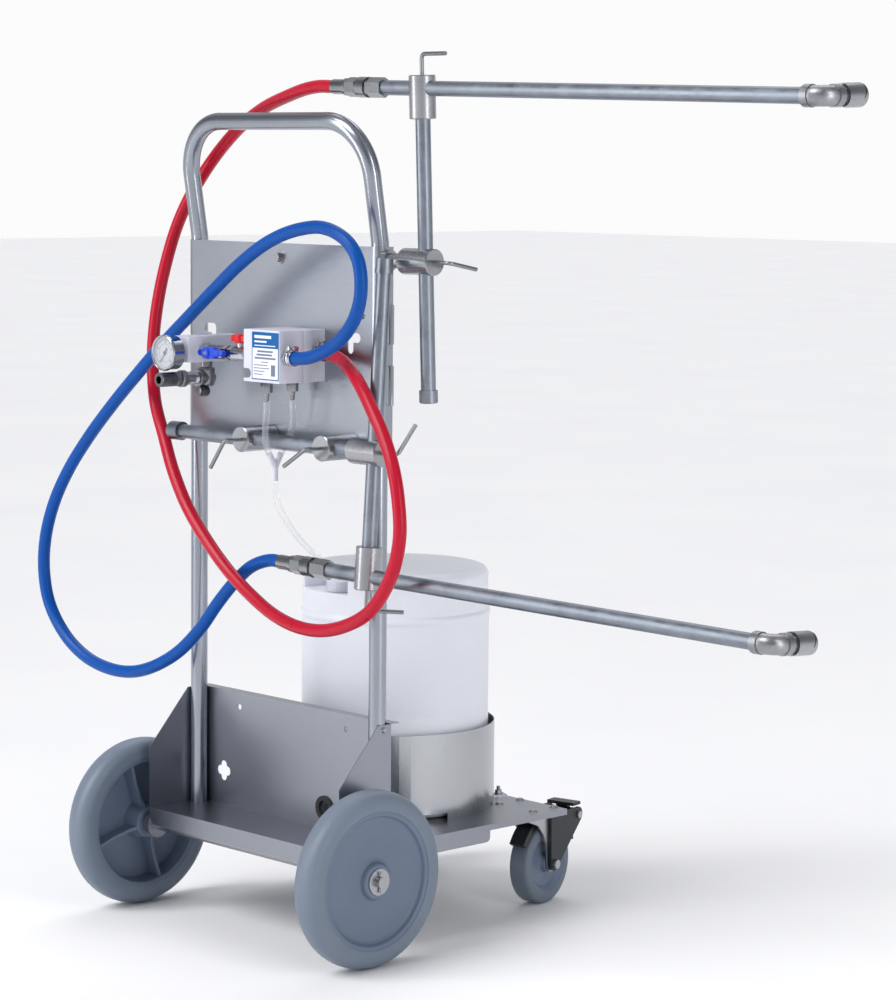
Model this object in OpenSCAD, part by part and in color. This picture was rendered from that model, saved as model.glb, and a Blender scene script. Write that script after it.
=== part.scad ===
// Mobile foam and spray sanitising cart with two adjustable pipe arms.
// Millimetres, +Z up, X along the wheel axle, Y towards the castors.
// Places are measured from the middle of the axle line on the floor, and placed()
// moves the whole cart so that its origin is at the bottom centre of its box.

/* [Frame] */
// Outside diameter of the bent handle tube
tube_d = 25.4; // [20:0.2:32]
// Half the distance between the two legs, centre to centre
leg_x = 202; // [180:1:230]
// Distance of the legs behind the axle
leg_y = 69.5; // [60:0.5:75]
// Height of the top of the handle bar
handle_h = 1207; // [1150:1:1260]
// Lean of the handle towards the operator above the panel, degrees
handle_lean = 9.5; // [5:0.5:15]
// Radius of the two handle corners, on the centre line
corner_r = 82; // [60:1:100]

/* [Tray] */
// Half width of the tray
tray_x = 216; // [214:1:225]
// Front edge of the tray
tray_y0 = -16; // [-20:1:-12]
// Rear edge of the tray
tray_y1 = 450; // [440:1:470]
// Height of the top of the tray
tray_z = 156; // [150:1:160]
// Sheet thickness of the tray
tray_t = 2; // [1.5:0.1:3]
// Height of the guard wall behind the legs
guard_z = 333; // [300:1:350]

/* [Panel] */
// Bottom of the control panel
panel_z0 = 713; // [700:1:725]
// Top of the control panel
panel_z1 = 1017; // [1005:1:1030]
// Sheet thickness of the panel and guard
sheet_t = 1.5; // [1.2:0.1:2]

/* [Wheels] */
// Diameter of the two fixed wheels
wheel_d = 254; // [240:1:260]
// Half the track, to the middle of each wheel
track_x = 260; // [256:1:266]
// Diameter of the castor wheels
castor_d = 125; // [120:1:127]
// Rest angle of the castors about their swivel
castor_turn = 12; // [0:1:30]

/* [Pipes and clamps] */
// Outside diameter of the half inch pipe
pipe_d = 21.3; // [21:0.1:21.6]
// Bore of the half inch pipe
pipe_bore = 15.8; // [15:0.1:16.5]
// Diameter of a cross clamp
clamp_d = 37.5; // [36:0.5:40]
// Height of the crossbar
crossbar_z = 731; // [725:1:740]
// Lean of the drop pipe about the crossbar, degrees
drop_lean = 3.6; // [0:0.1:6]
// Lean of the mast towards the operator, degrees
mast_lean = 2.2; // [0:0.1:4]
// Droop of the lower arm, degrees
lower_droop = 0.5; // [0:0.1:2]
// Droop of the upper arm, degrees
upper_droop = 1.3; // [0:0.1:2]

/* [Drum] */
// Diameter of the drum
drum_d = 286; // [280:1:290]
// Middle of the drum behind the axle
drum_y = 291; // [285:1:300]
// Height of the top of the drum
drum_z1 = 525; // [500:1:540]
// Height of the ring that holds the drum
ring_h = 130; // [120:1:140]

/* [Hidden] */
$fn = 48;
// Offset that puts the bottom centre of the box at the origin
centre_x = -367.16;
centre_y = -206.21;
axle_z = wheel_d / 2;
tube_wall = 1.65;
tray_lip_z = 130;
// Where the deep side flange ends and its height at the rear
deep_lip_y = 286;
rear_lip_h = 9;
axle_d = 15.9;
lug_r = 20;
// Bent sheet round a leg
wrap_r = tube_d / 2 + sheet_t;
panel_y = leg_y - wrap_r;
panel_back_y = leg_y + tube_d / 2;
bend_z = panel_z1 + 4;
bend_r = 60;
// Clamp: cross hole to screw face, and cross hole to socket face
clamp_top = 18.5;
clamp_bottom = 42.5;
socket_depth = 14;
cross_r = pipe_d / 2 + 0.05;
screw_d = 6;
screw_reach = 29;
crossbar_y = panel_y - clamp_bottom;
clamp_a_x = -16.5;
clamp_b_x = 161;
corner_x = 254.5;
// Lower arm below the corner clamp, measured down the drop pipe
lower_down = 174.5;
mast_x = 296.5;
mast_clamp_z = 998;
// Upper arm above the mast clamp, measured up the mast
upper_up = 241.5;
coupling_l = 107;
arm_elbow = 28;
castor_x = 159.5;
castor_y = 419;
trail = 38;
castor_axle_z = castor_d / 2;
// Pivot of the castor's lock pedal
pedal_y = 105;
pedal_z = 128;
plate_hole_x = 36.5;
plate_hole_y = 22.25;
ring_r = 153;
// Injector block
block_x0 = 22.5;
block_x1 = 101.5;
block_y0 = -32;
block_y1 = panel_y;
block_z0 = 820;
block_z1 = 895.5;
bar_x = -98;
bar_w = 38;
bar_z = 860.5;
bar_y0 = -52;
valve_y = -22;
valve_z = 858;
blue_valve_x = -44;
red_valve_x = 3;
gauge_z = 856;
blue_tail = [101.5, -18, 857];
red_tail = [101.5, 38, 862];
barb_x = 60;
front_barb_y = -20;
rear_barb_y = 29;
y_at = [42, 12, 694];
drum_cap_at = [0, 178];
ledge_z = 492;
hose_r = 9.5;
hose_sides = 12;
suction_r = 4.75;

// Routes: round points along each hose, from the injector to its fitting
blue_route = [[107.6, -18, 857], [125, -18, 857], [150, -18, 860], [180, -19, 869], [210, -21, 882],
  [235, -24, 899], [255, -27, 919], [268, -29, 943], [272, -30, 970], [266, -30, 1000],
  [248, -30, 1023], [220, -30, 1038], [185, -29, 1045], [145, -28, 1042], [100, -27, 1032],
  [50, -25, 1013], [-5, -23, 983], [-60, -21, 947], [-120, -20, 905], [-180, -20, 862],
  [-235, -21, 818], [-295, -22, 768], [-355, -24, 712], [-405, -27, 655], [-440, -29, 600],
  [-460, -30, 545], [-464, -30, 494], [-450, -30, 444], [-410, -29, 398], [-360, -27, 370],
  [-305, -24, 358], [-255, -20, 359], [-205, -17, 373], [-150, -13, 402], [-103, -9, 442],
  [-68, -6, 482], [-32, -3, 518], [5, 0, 546], [45, 1.7, 558.7], [69, 1.7, 558.5], [83.4, 1.7, 558.3]];
red_route = [[107.6, 38, 862], [125, 38, 862], [150, 33, 859], [185, 20, 851], [232, 0, 832],
  [279, -15, 795], [315, -24, 757], [344, -33, 716], [362, -40, 672], [367, -42, 630],
  [358, -42, 589], [337, -42, 550], [304, -41, 516], [262, -40, 494], [208, -39, 479],
  [153, -37, 477], [97, -34, 487], [38, -29, 509], [-23, -24, 541], [-82, -19, 583],
  [-129, -14, 624], [-172, -6, 673], [-213, 8, 724], [-239, 14, 767], [-256, 22, 811],
  [-267, 31, 855], [-273, 41, 900], [-275, 52, 944], [-272, 63, 989], [-264, 74, 1034],
  [-248, 83, 1074], [-222, 90, 1113], [-182, 93, 1153], [-130, 90, 1188], [-67, 80, 1214],
  [0, 69, 1231], [50, 62, 1241], [82, 60.3, 1244.2], [107, 60.2, 1243.6], [127, 60.2, 1243.15]];
left_tube_route = [[60, -20, 792], [60, -20, 776], [57, -19, 760], [51, -15, 745], [45.5, -9.5, 731],
  [42.5, -4.5, 722.5], [42, 0.4, 714.1]];
right_tube_route = [[60, 29, 792], [60, 30, 776], [57, 33, 760], [51, 34.5, 745], [45.5, 32.5, 731],
  [42.5, 28.5, 722.5], [42, 23.6, 714.1]];
drum_tube_route = [[42, 12, 674], [42, 13, 655], [42, 20, 635], [41, 36, 612], [38, 62, 585],
  [33, 92, 562], [25, 125, 545], [14, 155, 531], [5, 171, 524],
  [1, 177, 517], [0, 178, 510], [0, 178, 498]];

// ---- helpers ----
module placed() {
  translate([centre_x, centre_y, 0]) children();
}

module bored(d, bore, length) {
  difference() {
    cylinder(d = d, h = length);
    translate([0, 0, -1]) cylinder(d = bore, h = length + 2);
  }
}

module cap(d, length) {
  chamfer = 1.2;
  rotate_extrude() polygon([[0, 0], [d / 2 - chamfer, 0], [d / 2, chamfer], [d / 2, length], [0, length]]);
}

// Unit vector, and the two directions across a route at point i
function unit(v) = v / norm(v);
function along(p, i) = unit(p[min(i + 1, len(p) - 1)] - p[max(i - 1, 0)]);
function side(p, i) = unit(cross(along(p, i), [0.05, 1, 0.1]));
function ring_point(p, i, r, a) = p[i] + r * (cos(a) * side(p, i) + sin(a) * cross(along(p, i), side(p, i)));

// Round tube swept along the points of a route
module swept(p, r, sides) {
  n = len(p);
  points = [for (i = [0:n - 1]) for (k = [0:sides - 1]) ring_point(p, i, r, 360 * k / sides)];
  walls = [for (i = [0:n - 2]) for (k = [0:sides - 1]) let (a = i * sides + k, b = i * sides + (k + 1) % sides)
    [a, b, b + sides, a + sides]];
  first = [for (k = [0:sides - 1]) sides - 1 - k];
  last = [for (k = [0:sides - 1]) (n - 1) * sides + k];
  polyhedron(points = points, faces = concat([first], walls, [last]));
}

// Cross clamp: cross hole along X through the origin, turned by tilt about Y,
// screw face at +Z, pipe socket at -Z
module cross_clamp(tilt) {
  edge = 1.2;
  difference() {
    rotate_extrude() polygon([[0, -clamp_bottom], [clamp_d / 2 - edge, -clamp_bottom],
      [clamp_d / 2, edge - clamp_bottom], [clamp_d / 2, clamp_top - edge],
      [clamp_d / 2 - edge, clamp_top], [0, clamp_top]]);
    rotate([0, 90 + tilt, 0]) translate([0, 0, -clamp_d]) cylinder(r = cross_r, h = 2 * clamp_d);
    cylinder(d = screw_d + 0.1, h = clamp_top + 1);
  }
}

// The same clamp bored for the pipe that carries it
module socket_clamp(tilt) {
  difference() {
    cross_clamp(tilt);
    translate([0, 0, -clamp_bottom - 1]) cylinder(d = pipe_d + 0.04, h = socket_depth + 1);
  }
}

// Bent clamp screw on the +Z axis, its handle turned by aim degrees
module clamp_screw(aim) {
  bend = 7;
  rise = clamp_top + screw_reach - bend;
  handle = 46;
  color("silver") rotate([0, 0, aim]) {
    translate([0, 0, pipe_d / 2 + 0.1]) cylinder(d = screw_d, h = rise - pipe_d / 2 - 0.1);
    translate([bend, 0, rise]) rotate([90, 0, 180]) rotate_extrude(angle = 90)
      translate([bend, 0]) circle(d = screw_d);
    translate([bend, 0, rise + bend]) rotate([0, 90, 0]) cylinder(d = screw_d, h = handle);
  }
}

module crossbar_frame(x) {
  translate([x, crossbar_y, crossbar_z]) children();
}

module corner_frame() {
  crossbar_frame(corner_x) rotate([-drop_lean, 0, 0]) children();
}

module lower_frame() {
  corner_frame() translate([0, 0, -lower_down]) children();
}

module lower_arm_frame() {
  lower_frame() rotate([0, lower_droop, 0]) children();
}

module mast_frame() {
  translate([mast_x, leg_y, mast_clamp_z]) rotate([mast_lean, 0, 0]) children();
}

module upper_frame() {
  mast_frame() translate([0, 0, upper_up]) children();
}

module upper_arm_frame() {
  upper_frame() rotate([0, upper_droop, 0]) children();
}

// Arm pipe along X from x0 to x1
module arm_pipe(x0, x1) {
  color([0.66, 0.68, 0.72]) translate([x0, 0, 0]) rotate([0, 90, 0]) bored(pipe_d, pipe_bore, x1 - x0);
}

// Hose coupling along -X from x: hex adaptor, sleeve, hose hex and stem
module coupling(x) {
  hex_d = 28;
  color([0.75, 0.76, 0.78]) translate([x, 0, 0]) rotate([0, -90, 0]) difference() {
    union() {
      cylinder(d = 29, h = 30, $fn = 6);
      translate([0, 0, 30]) cylinder(d = 24, h = 3);
      translate([0, 0, 33]) cylinder(d = 29.6, h = 18);
      translate([0, 0, 51]) cylinder(d = 24, h = 3);
      translate([0, 0, 54]) cylinder(d = hex_d, h = 20, $fn = 6);
      translate([0, 0, 74]) cylinder(d = 25, h = 7);
      translate([0, 0, 81]) cylinder(d = 21.6, h = coupling_l - 81);
    }
    translate([0, 0, -1]) cylinder(d = pipe_d + 0.04, h = 15);
    translate([0, 0, 5]) cylinder(d = 10, h = coupling_l);
    translate([0, 0, coupling_l - 18]) cylinder(r = hose_r + 0.35, h = 19);
  }
}

// Cast elbow from the end of an arm to +Y, its corner at [0, 0]
module elbow() {
  bend = 16;
  body_d = 26.5;
  collar_d = 29;
  collar_l = 11;
  color([0.7, 0.72, 0.75]) difference() {
    union() {
      translate([-arm_elbow, 0, 0]) rotate([0, 90, 0]) cylinder(d = collar_d, h = collar_l);
      translate([-arm_elbow, 0, 0]) rotate([0, 90, 0]) cylinder(d = body_d, h = arm_elbow - bend);
      translate([-bend, bend, 0]) rotate([0, 0, -90]) rotate_extrude(angle = 90)
        translate([bend, 0]) circle(d = body_d);
      translate([0, arm_elbow, 0]) rotate([90, 0, 0]) cylinder(d = body_d, h = arm_elbow - bend);
      translate([0, arm_elbow, 0]) rotate([90, 0, 0]) cylinder(d = collar_d, h = collar_l);
    }
    translate([-arm_elbow - 1, 0, 0]) rotate([0, 90, 0]) cylinder(d = pipe_d + 0.04, h = 13);
    translate([0, arm_elbow + 1, 0]) rotate([90, 0, 0]) cylinder(d = pipe_d + 0.04, h = 13);
    translate([-arm_elbow, 0, 0]) rotate([0, 90, 0]) cylinder(d = pipe_bore, h = arm_elbow);
    translate([0, arm_elbow, 0]) rotate([90, 0, 0]) cylinder(d = pipe_bore, h = arm_elbow);
  }
}

// Slotted fan nozzle on a short nipple, pointing along +Y
module nozzle() {
  head_d = 31;
  head_l = 36;
  nipple = 17;
  start = arm_elbow - 11;
  head = start + nipple;
  color([0.74, 0.75, 0.77]) translate([0, start, 0]) rotate([-90, 0, 0]) difference() {
    union() {
      cylinder(d = pipe_d, h = nipple);
      translate([0, 0, nipple]) mirror([0, 0, 1]) translate([0, 0, -head_l]) cap(head_d, head_l);
    }
    translate([0, 0, -1]) cylinder(d = pipe_bore, h = nipple + head_l - 9);
    translate([-head_d, head_d * 0.1, nipple + head_l - 9]) rotate([-20, 0, 0])
      translate([0, -head_d, 0]) cube([2 * head_d, head_d, 1.6]);
  }
}

// ---- frame ----
// One leg up to its corner, as a solid bar of diameter d that runs over by extra at the foot.
// The bends are a hair wider than the straights, which run into them by lap.
module leg_bar(d, extra) {
  lap = 2;
  bend_d = d + 0.3;
  low = bend_z - bend_r * tan(handle_lean / 2);
  rise = (handle_h - tube_d / 2 - bend_z) / cos(handle_lean) - bend_r * tan(handle_lean / 2) - corner_r;
  translate([leg_x, leg_y, tray_z - extra]) cylinder(d = d, h = low - tray_z + extra + lap);
  translate([leg_x, leg_y - bend_r, low]) rotate([90, 0, 90]) rotate_extrude(angle = handle_lean)
    translate([bend_r, 0]) circle(d = bend_d);
  translate([leg_x, leg_y, bend_z]) rotate([handle_lean, 0, 0])
    translate([0, 0, bend_r * tan(handle_lean / 2)]) {
      translate([0, 0, -lap]) cylinder(d = d, h = rise + 2 * lap);
      translate([-corner_r, 0, rise]) rotate([90, 0, 0]) rotate_extrude(angle = 90)
        translate([corner_r, 0]) circle(d = bend_d);
    }
}

module handle_bar(d, extra) {
  lap = 2;
  top_up = (handle_h - tube_d / 2 - bend_z) / cos(handle_lean);
  half = leg_x - corner_r + lap;
  for (sx = [0, 1]) mirror([sx, 0, 0]) leg_bar(d, extra);
  translate([-half, leg_y, bend_z]) rotate([handle_lean, 0, 0]) translate([0, 0, top_up])
    rotate([0, 90, 0]) cylinder(d = d, h = 2 * half);
}

module handle_frame() {
  color([0.72, 0.73, 0.76]) placed() difference() {
    handle_bar(tube_d, 0);
    handle_bar(tube_d - 2 * tube_wall, 1);
  }
}

module side_flange() {
  corner = 8;
  difference() {
    rotate([90, 0, 90]) linear_extrude(tray_t) difference() {
      union() {
        translate([tray_y0, tray_z - rear_lip_h]) square([tray_y1 - tray_y0, rear_lip_h]);
        translate([tray_y0, tray_lip_z]) square([deep_lip_y - tray_y0 - corner, tray_z - tray_lip_z]);
        translate([tray_y0, tray_lip_z + corner]) square([deep_lip_y - tray_y0, rear_lip_h + 9]);
        translate([deep_lip_y - corner, tray_lip_z + corner]) circle(r = corner);
        translate([0, axle_z]) circle(r = lug_r);
        translate([tray_y0, axle_z]) square([-tray_y0, tray_z - axle_z]);
      }
      translate([0, axle_z]) circle(d = axle_d + 0.04);
    }
  }
}

module base_tray() {
  color([0.62, 0.64, 0.68]) placed() {
    difference() {
      translate([-tray_x, tray_y0, tray_z - tray_t]) cube([2 * tray_x, tray_y1 - tray_y0, tray_t]);
      for (sx = [-1, 1]) for (dx = [-1, 1]) for (dy = [-1, 1])
        translate([sx * castor_x + dx * plate_hole_x, castor_y + dy * plate_hole_y, tray_z - tray_t - 1])
          cylinder(d = 8.5, h = tray_t + 2);
      for (a = ring_tabs) translate([0, drum_y, tray_z - tray_t - 1]) rotate([0, 0, a])
        translate([tab_r, 0, 0]) cylinder(d = 6.5, h = tray_t + 2);
    }
    for (sx = [0, 1]) mirror([sx, 0, 0]) translate([tray_x - tray_t, 0, 0]) side_flange();
    translate([-tray_x, tray_y0, tray_lip_z]) cube([2 * tray_x, tray_t, tray_z - tray_lip_z]);
    translate([-tray_x, tray_y1 - tray_t, tray_z - rear_lip_h]) cube([2 * tray_x, tray_t, rear_lip_h]);
  }
}

module quatrefoil(r) {
  for (a = [0:90:270]) rotate([0, 0, a]) translate([8.2, 0]) circle(r = r);
  circle(r = 8);
}

module gusset() {
  top = guard_z - 1;
  rotate([90, 0, 90]) linear_extrude(sheet_t) polygon([[tray_y0, tray_z], [tray_y0, tray_z + 92],
    [leg_y - 11, top], [panel_back_y + sheet_t, top], [panel_back_y + sheet_t, tray_z]]);
}

module tray_guard() {
  flange = 17;
  inner = tray_x - 0.3;
  color([0.6, 0.62, 0.66]) placed() {
    difference() {
      translate([-inner, panel_back_y, tray_z]) cube([2 * inner, sheet_t, guard_z - tray_z]);
      translate([0, panel_back_y + sheet_t + 1, 0]) rotate([90, 0, 0]) {
        for (x = [-121, 121]) translate([x, 311, 0]) cylinder(d = 9, h = sheet_t + 2);
        translate([-158, 208, 0]) linear_extrude(sheet_t + 2) quatrefoil(7.2);
        translate([75, 187, 0]) cylinder(d = 33, h = sheet_t + 2);
      }
    }
    translate([-inner, panel_back_y, guard_z - sheet_t]) cube([2 * inner, flange, sheet_t]);
    for (sx = [0, 1]) mirror([sx, 0, 0]) translate([leg_x + tube_d / 2 + 0.05, 0, 0]) gusset();
  }
}

module guard_grommet() {
  color([0.12, 0.12, 0.13]) placed() translate([75, panel_back_y + sheet_t / 2, 187]) rotate([90, 0, 0])
    rotate_extrude() polygon([[11.5, -3.2], [18.5, -3.2], [18.5, -sheet_t / 2 - 0.02], [16.4, -sheet_t / 2 - 0.02],
      [16.4, sheet_t / 2 + 0.02], [18.5, sheet_t / 2 + 0.02], [18.5, 3.2], [11.5, 3.2]]);
}

// Plan of the panel sheet: flat front, bent round both legs, side flanges
module panel_plan() {
  gap = 0.05;
  translate([-leg_x, panel_y]) square([2 * leg_x, sheet_t - gap]);
  for (sx = [0, 1]) mirror([sx, 0, 0]) {
    translate([leg_x, leg_y]) intersection() {
      difference() {
        circle(r = wrap_r);
        circle(r = tube_d / 2 + gap);
      }
      translate([0, -wrap_r]) square(wrap_r);
    }
    translate([leg_x + tube_d / 2 + gap, leg_y]) square([sheet_t - gap, panel_back_y - leg_y]);
  }
}

// Keyhole slot for a hook, its lobe to the outside
module keyhole(x) {
  translate([x - 6, 869, 0]) cube([12, 18, 20]);
  translate([x, 869, 0]) cylinder(r = 6, h = 20);
  translate([x, 887, 0]) cylinder(r = 6, h = 20);
  translate([x + sign(x) * 14, 886, 0]) cylinder(r = 7, h = 20);
  translate([min(x, x + sign(x) * 14), 879, 0]) cube([14, 14, 20]);
}

module control_panel() {
  slot_h = 56;
  slot_w = 9;
  color([0.66, 0.68, 0.71]) placed() {
    difference() {
      translate([0, 0, panel_z0]) linear_extrude(panel_z1 - panel_z0) panel_plan();
      translate([0, panel_y + 10, 0]) rotate([90, 0, 0]) {
        keyhole(-152);
        keyhole(156);
        translate([0, 996, 0]) cylinder(d = 8.4, h = 20);
        for (x = [-182, 182]) for (z = [806, 918]) translate([x, z, 0]) cylinder(d = 4.2, h = 20);
      }
      for (z = [793, 880]) translate([-tray_x - 10, leg_y + 2.5, z]) cube([2 * tray_x + 20, slot_w, slot_h - 3]);
    }
    // Lanced bridges over the flange slots
    for (sx = [0, 1]) mirror([sx, 0, 0]) for (z = [793, 880])
      translate([leg_x + wrap_r + 0.4, leg_y + 9, z - 1.5]) intersection() {
        cylinder(r = 4, h = slot_h);
        translate([-1.4, -4, 0]) cube([8, 8, slot_h]);
      }
  }
}

module hex_bolt(d, across, head, length) {
  cylinder(d = across / cos(30), h = head, $fn = 6);
  translate([0, 0, -length]) cylinder(d = d, h = length);
}

module dome_bolt(d, head_d, head, length) {
  translate([0, 0, -length]) cylinder(d = d, h = length);
  cylinder(d1 = head_d, d2 = head_d * 0.6, h = head);
}

tab_r = 170;
ring_tabs = [65, 185, 305];

module frame_fasteners() {
  color([0.75, 0.76, 0.78]) placed() {
    axle_hardware();
    translate([0, panel_y, 996]) rotate([90, 0, 0]) {
      cylinder(d = 20, h = 2);
      translate([0, 0, 2]) hex_bolt(8, 13, 6, 12);
    }
    for (x = [-182, 182]) for (z = [806, 918])
      translate([x, panel_y, z]) rotate([90, 0, 0]) dome_bolt(4, 9, 2.6, 4);
    for (sx = [-1, 1]) translate([sx * (leg_x + tube_d / 2 + 0.05 + sheet_t), leg_y, guard_z - 8])
      rotate([0, sx * 90, 0]) translate([0, 0, 0.02]) cylinder(d1 = 9.5, d2 = 5.7, h = 2.8);
    for (sx = [-1, 1]) for (dx = [-1, 1]) for (dy = [-1, 1])
      translate([sx * castor_x + dx * plate_hole_x, castor_y + dy * plate_hole_y, tray_z])
        dome_bolt(8, 15, 3, 12);
    for (a = ring_tabs) translate([0, drum_y, tray_z + 1.5]) rotate([0, 0, a]) translate([tab_r, 0, 0]) {
      cylinder(d = 12, h = 1.2);
      translate([0, 0, 1.2]) cylinder(d = 10 / cos(30), h = 5, $fn = 6);
      translate([0, 0, -8]) cylinder(d = 6, h = 20);
    }
  }
}

// ---- crossbar side ----
module crossbar_clamps() {
  color([0.72, 0.7, 0.72]) placed() for (x = [clamp_a_x, clamp_b_x])
    crossbar_frame(x) rotate([90, 0, 0]) cross_clamp(0);
}

module crossbar() {
  color([0.6, 0.62, 0.67]) placed() crossbar_frame(0) {
    x0 = -192;
    translate([x0, 0, 0]) rotate([0, 90, 0])
      bored(pipe_d, pipe_bore, corner_x - clamp_bottom + socket_depth - x0);
  }
}

module crossbar_cap() {
  color([0.45, 0.46, 0.5]) placed() crossbar_frame(-197) rotate([0, 90, 0]) difference() {
    cap(28, 24);
    translate([0, 0, 5]) cylinder(d = pipe_d, h = 20);
  }
}

module corner_clamp() {
  color([0.72, 0.7, 0.72]) placed() corner_frame() rotate([0, 90, 0]) socket_clamp(0);
}

module drop_pipe() {
  color([0.64, 0.66, 0.7]) placed() corner_frame()
    translate([0, 0, -lower_down + clamp_bottom - socket_depth])
      bored(pipe_d, pipe_bore, lower_down - clamp_bottom + socket_depth + 262);
}

module drop_pipe_cap() {
  color([0.72, 0.73, 0.76]) placed() corner_frame() translate([0, 0, 251]) difference() {
    union() {
      cylinder(d = 26.5, h = 6);
      translate([0, 0, 6]) mirror([0, 0, 1]) translate([0, 0, -16]) cap(24.5, 16);
    }
    translate([0, 0, -1]) cylinder(d = pipe_d, h = 12);
  }
}

module lower_arm_clamp() {
  color([0.72, 0.7, 0.72]) placed() lower_frame() rotate([180, 0, 0]) socket_clamp(-lower_droop);
}

module lower_arm() {
  placed() lower_arm_frame() arm_pipe(-93.5, 724.5);
}

module lower_coupling() {
  placed() lower_arm_frame() coupling(-80.5);
}

module lower_elbow() {
  placed() lower_arm_frame() translate([740.5, 0, 0]) elbow();
}

module lower_nozzle() {
  placed() lower_arm_frame() translate([740.5, 0, 0]) nozzle();
}

// ---- mast side ----
module mast_clamp() {
  color([0.72, 0.7, 0.72]) placed() {
    mast_frame() rotate([0, 90, 0]) socket_clamp(0);
    flange_x = leg_x + wrap_r;
    translate([flange_x + 0.02, leg_y, mast_clamp_z]) rotate([0, 90, 0]) {
      cylinder(d = pipe_d, h = mast_x - clamp_bottom + socket_depth - flange_x - 0.5);
      cylinder(d = 29, h = 9);
    }
  }
}

module mast() {
  color([0.64, 0.66, 0.7]) placed() mast_frame() translate([0, 0, -192])
    bored(pipe_d, pipe_bore, upper_up - clamp_bottom + socket_depth + 192);
}

module mast_cap() {
  color([0.72, 0.73, 0.76]) placed() mast_frame() translate([0, 0, -198]) difference() {
    cap(26.5, 18);
    translate([0, 0, 6]) cylinder(d = pipe_d, h = 13);
  }
}

module upper_arm_clamp() {
  color([0.72, 0.7, 0.72]) placed() upper_frame() socket_clamp(upper_droop);
}

module upper_arm() {
  placed() upper_arm_frame() arm_pipe(-89, 698.5);
}

module upper_coupling() {
  placed() upper_arm_frame() coupling(-76);
}

module upper_elbow() {
  placed() upper_arm_frame() translate([714.5, 0, 0]) elbow();
}

module upper_nozzle() {
  placed() upper_arm_frame() translate([714.5, 0, 0]) nozzle();
}

// ---- clamp screws ----
module crossbar_screw_left() {
  placed() crossbar_frame(clamp_a_x) rotate([90, 0, 0]) clamp_screw(233);
}

module crossbar_screw_right() {
  placed() crossbar_frame(clamp_b_x) rotate([90, 0, 0]) clamp_screw(211);
}

module corner_screw() {
  placed() corner_frame() rotate([0, 90, 0]) clamp_screw(143);
}

module lower_arm_screw() {
  placed() lower_frame() rotate([180, 0, 0]) clamp_screw(-46);
}

module mast_screw() {
  placed() mast_frame() rotate([0, 90, 0]) clamp_screw(77);
}

module upper_arm_screw() {
  placed() upper_frame() clamp_screw(-5);
}

// ---- wheels ----
module wheel_axle() {
  color("silver") placed() translate([-292, 0, axle_z]) rotate([0, 90, 0]) cylinder(d = axle_d, h = 584);
}

// Spacer, washer and split pin at each end of the axle
module axle_hardware() {
  for (sx = [0, 1]) mirror([sx, 0, 0]) translate([0, 0, axle_z]) {
    translate([tray_x + 0.02, 0, 0]) rotate([0, 90, 0]) bored(30, axle_d + 0.04, 17.5);
    translate([track_x + 23.5, 0, 0]) rotate([0, 90, 0]) bored(38, axle_d + 0.04, 1.5);
    translate([track_x + 28, 0, -15]) difference() {
      cylinder(d = 3, h = 30);
      translate([0, 0, 15]) rotate([0, 90, 0]) cylinder(d = axle_d + 0.04, h = 20, center = true);
    }
  }
}

// Wheel about the X axis, outer face at +X
module fixed_wheel() {
  hub_r = 26.5;
  rim_r = 99;
  rotate([0, 90, 0]) {
    color([0.42, 0.47, 0.56]) difference() {
      union() {
        rotate_extrude() polygon([[0, -25], [hub_r - 4, -25], [hub_r, 6], [rim_r - 8, 8], [rim_r - 6, -20],
          [rim_r, -20], [rim_r, 20], [rim_r - 6, 20], [rim_r - 9, 13], [60, 12], [hub_r + 6, 14],
          [hub_r, 23], [0, 23]]);
        for (a = [17:90:287]) rotate([0, 0, a]) translate([hub_r - 6, -2.5, -17]) cube([rim_r - hub_r, 5, 26]);
      }
      translate([0, 0, -30]) cylinder(d = axle_d + 0.1, h = 60);
    }
    color([0.5, 0.56, 0.6]) rotate_extrude() polygon([[rim_r - 0.5, -20], [112, -22], [120, -19], [125, -13],
      [wheel_d / 2, -5], [wheel_d / 2, 5], [125, 13], [120, 19], [112, 22], [rim_r - 0.5, 20]]);
  }
}

module right_wheel() {
  placed() translate([track_x, 0, axle_z]) fixed_wheel();
}

module left_wheel() {
  placed() translate([-track_x, 0, axle_z]) mirror([1, 0, 0]) fixed_wheel();
}

// ---- castors ----
module castor_frame(sx) {
  placed() translate([sx * castor_x, castor_y, 0]) rotate([0, 0, castor_turn]) children();
}

module castor_plates() {
  plate = 3;
  color("silver") placed() for (sx = [-1, 1]) translate([sx * castor_x, castor_y, tray_z - tray_t - plate]) {
    difference() {
      translate([-47.5, -32.5, 0]) cube([95, 61, plate - 0.02]);
      for (dx = [-1, 1]) for (dy = [-1, 1]) translate([dx * plate_hole_x, dy * plate_hole_y, -1])
        cylinder(d = 8.5, h = plate + 2);
    }
    translate([0, 0, -3]) cylinder(d = 58, h = 3);
    translate([0, 0, -14]) cylinder(d = 12, h = 12);
  }
}

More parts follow.
